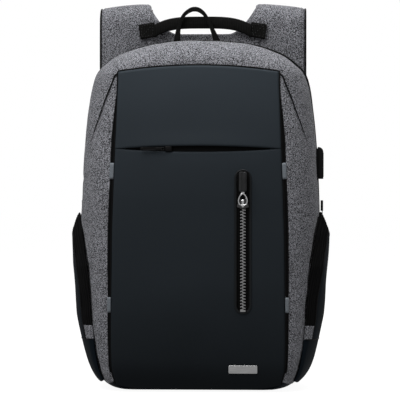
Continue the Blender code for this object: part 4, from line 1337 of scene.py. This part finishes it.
def make_lower_strap(hand, side):
    x, y, z = strap_keys(side)[-1]
    keys = [(x, y - 0.0063, z - 0.0025), (x, 0.097, 0.094), (x + side * 0.004, 0.09, 0.062),
            (x + side * 0.008, 0.083, 0.04)]
    sweep(f"lower_webbing_{hand}", smooth_path(keys, 60), ACROSS, 0.025, 0.0018, ring(24, "band"), WEBBING,
          "back", f"strap_webbing_{hand}")
    low, high, middle = box_of(f"strap_anchor_{hand}")
    path = [Vector((middle.x, middle.y, z)) for z in dense(low.z, high.z, 10, 0.003, 4)]
    sweep(f"anchor_tab_{hand}", path, ACROSS, lambda t: 0.036 - 0.008 * t, 0.003, ring(20, "band"),
          WEBBING, "back", f"strap_anchor_{hand}")
    turns = ((-1, -1), (1, 1), (1, -1), (-1, 1), (-1, -1))
    cross = [Vector((middle.x + 0.012 * sx, high.y + 0.0002, middle.z + 0.007 * sz)) for sx, sz in turns]
    stitches(f"anchor_stitches_{hand}", cross, DEPTH)


HANDLE_HALF = 0.063


def make_handle():
    low, high, middle = box_of("carry_handle")
    pivot = low.z + 0.0085
    rows = []
    for x in span(-HANDLE_HALF - 0.0016, HANDLE_HALF + 0.0016, 120):
        level = pivot + 0.0103 * (1 - min(abs(x) / HANDLE_HALF, 1.0) ** 3.6)
        half = 0.0081 + 0.0006 * (x / HANDLE_HALF) ** 4
        row = []
        for a, b in ring(28, "pad"):
            seam = 0.0003 * bell(abs(a) - 0.36, 0.04) * (-1 if b > 0 else 1)
            row.append(Vector((x, middle.y + b * 0.005 + seam, level + 2 * a * half)))
        rows.append(row)
    mesh = grid_mesh("handle_strap", rows, closed=True)
    close_up(mesh, sharp=60)
    add("handle_strap", mesh, WEBBING, "carry_handle", "carry_handle")
    reach = 0.0075
    for hand, side in SIDES:
        low, high, middle = box_of(f"handle_patch_{hand}")
        tilt = -0.15 * side
        path = [Vector((x, middle.y, middle.z - 0.0004 + tilt * (x - middle.x)))
                for x in dense(low.x - 0.0006, high.x + 0.0006, 10, 0.002, 4)]
        sweep(f"handle_end_{hand}", path, UPWARD, high.z - low.z, high.y - low.y - 0.0004,
              ring(24, "band"), WEBBING, "back", f"handle_patch_{hand}")
        turns = ((-1, -1), (1, -1), (1, 1), (-1, 1), (-1, -1), (1, 1))
        path = [Vector((middle.x + x, low.y - 0.0001, middle.z + z + tilt * x))
                for x, z in ((reach * sx, reach * sz) for sx, sz in turns)]
        stitches(f"handle_stitches_{hand}", path, (0, -1, 0))


def make_hang_loop():
    low, _, middle = box_of("hang_loop")
    shift, deep = middle.x - 0.00025, middle.y
    keys = [(-0.025, -0.003), (-0.0233, 0.0165), (-0.0173, 0.0343), (-0.0085, 0.0424), (-0.0008, 0.0444),
            (0.0065, 0.042), (0.0138, 0.0343), (0.0225, 0.0165), (0.03, -0.003)]
    path = smooth_path([(shift + x, deep, low.z + 0.003 + z) for x, z in keys], 90)
    middle = Vector((shift, deep, low.z + 0.01))

    def width(t):
        foot = 0.006 * max((abs(2 * t - 1) - 0.5) / 0.5, 0.0) ** 1.3
        return 0.0046 + foot + 0.0018 * bell(t - 0.5, 0.11)

    sweep("loop_webbing", path, lambda t: path[round(t * 90)] - middle, width, 0.0024, ring(18, "band"),
          WEBBING, "hang_loop", "hang_loop")


def make_inside():
    hard_copy("sleeve_cloth", "laptop_sleeve", 0.0006, LINING, "back")
    low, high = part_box("laptop_sleeve")
    edge = [Vector((x, low.y + 0.0005, high.z)) for x in span(low.x + 0.001, high.x - 0.001, 20)]
    tube("sleeve_binding", edge, 0.0016, rides="back")
    hard_copy("power_pocket_cloth", "power_bank_pocket", 0.0005, LINING)


# ---- the whole scene

make_camera(2.4, 1.0, (-0.0006, 0.0, 0.2444))
make_studio()
make_shell()
make_strips()
cut_zip_slot(make_panel())
make_front_zip()
make_front_slider()
make_front_puller()
make_slit_zip()
hard_copy("brushed_plate", "name_plate", 0.00035, BRUSHED)
for hand, side in SIDES:
    make_pocket(hand, side)
make_usb()
make_main_runners()
make_back()
make_yoke()
make_straps()
make_handle()
make_hang_loop()
make_inside()
for node, material in (("front_zip_tape", TAPE), ("slit_zip_tape", TAPE), ("usb_socket", SILVER),
                       ("front_pocket_lining", LINING)):
    paint(node, material)
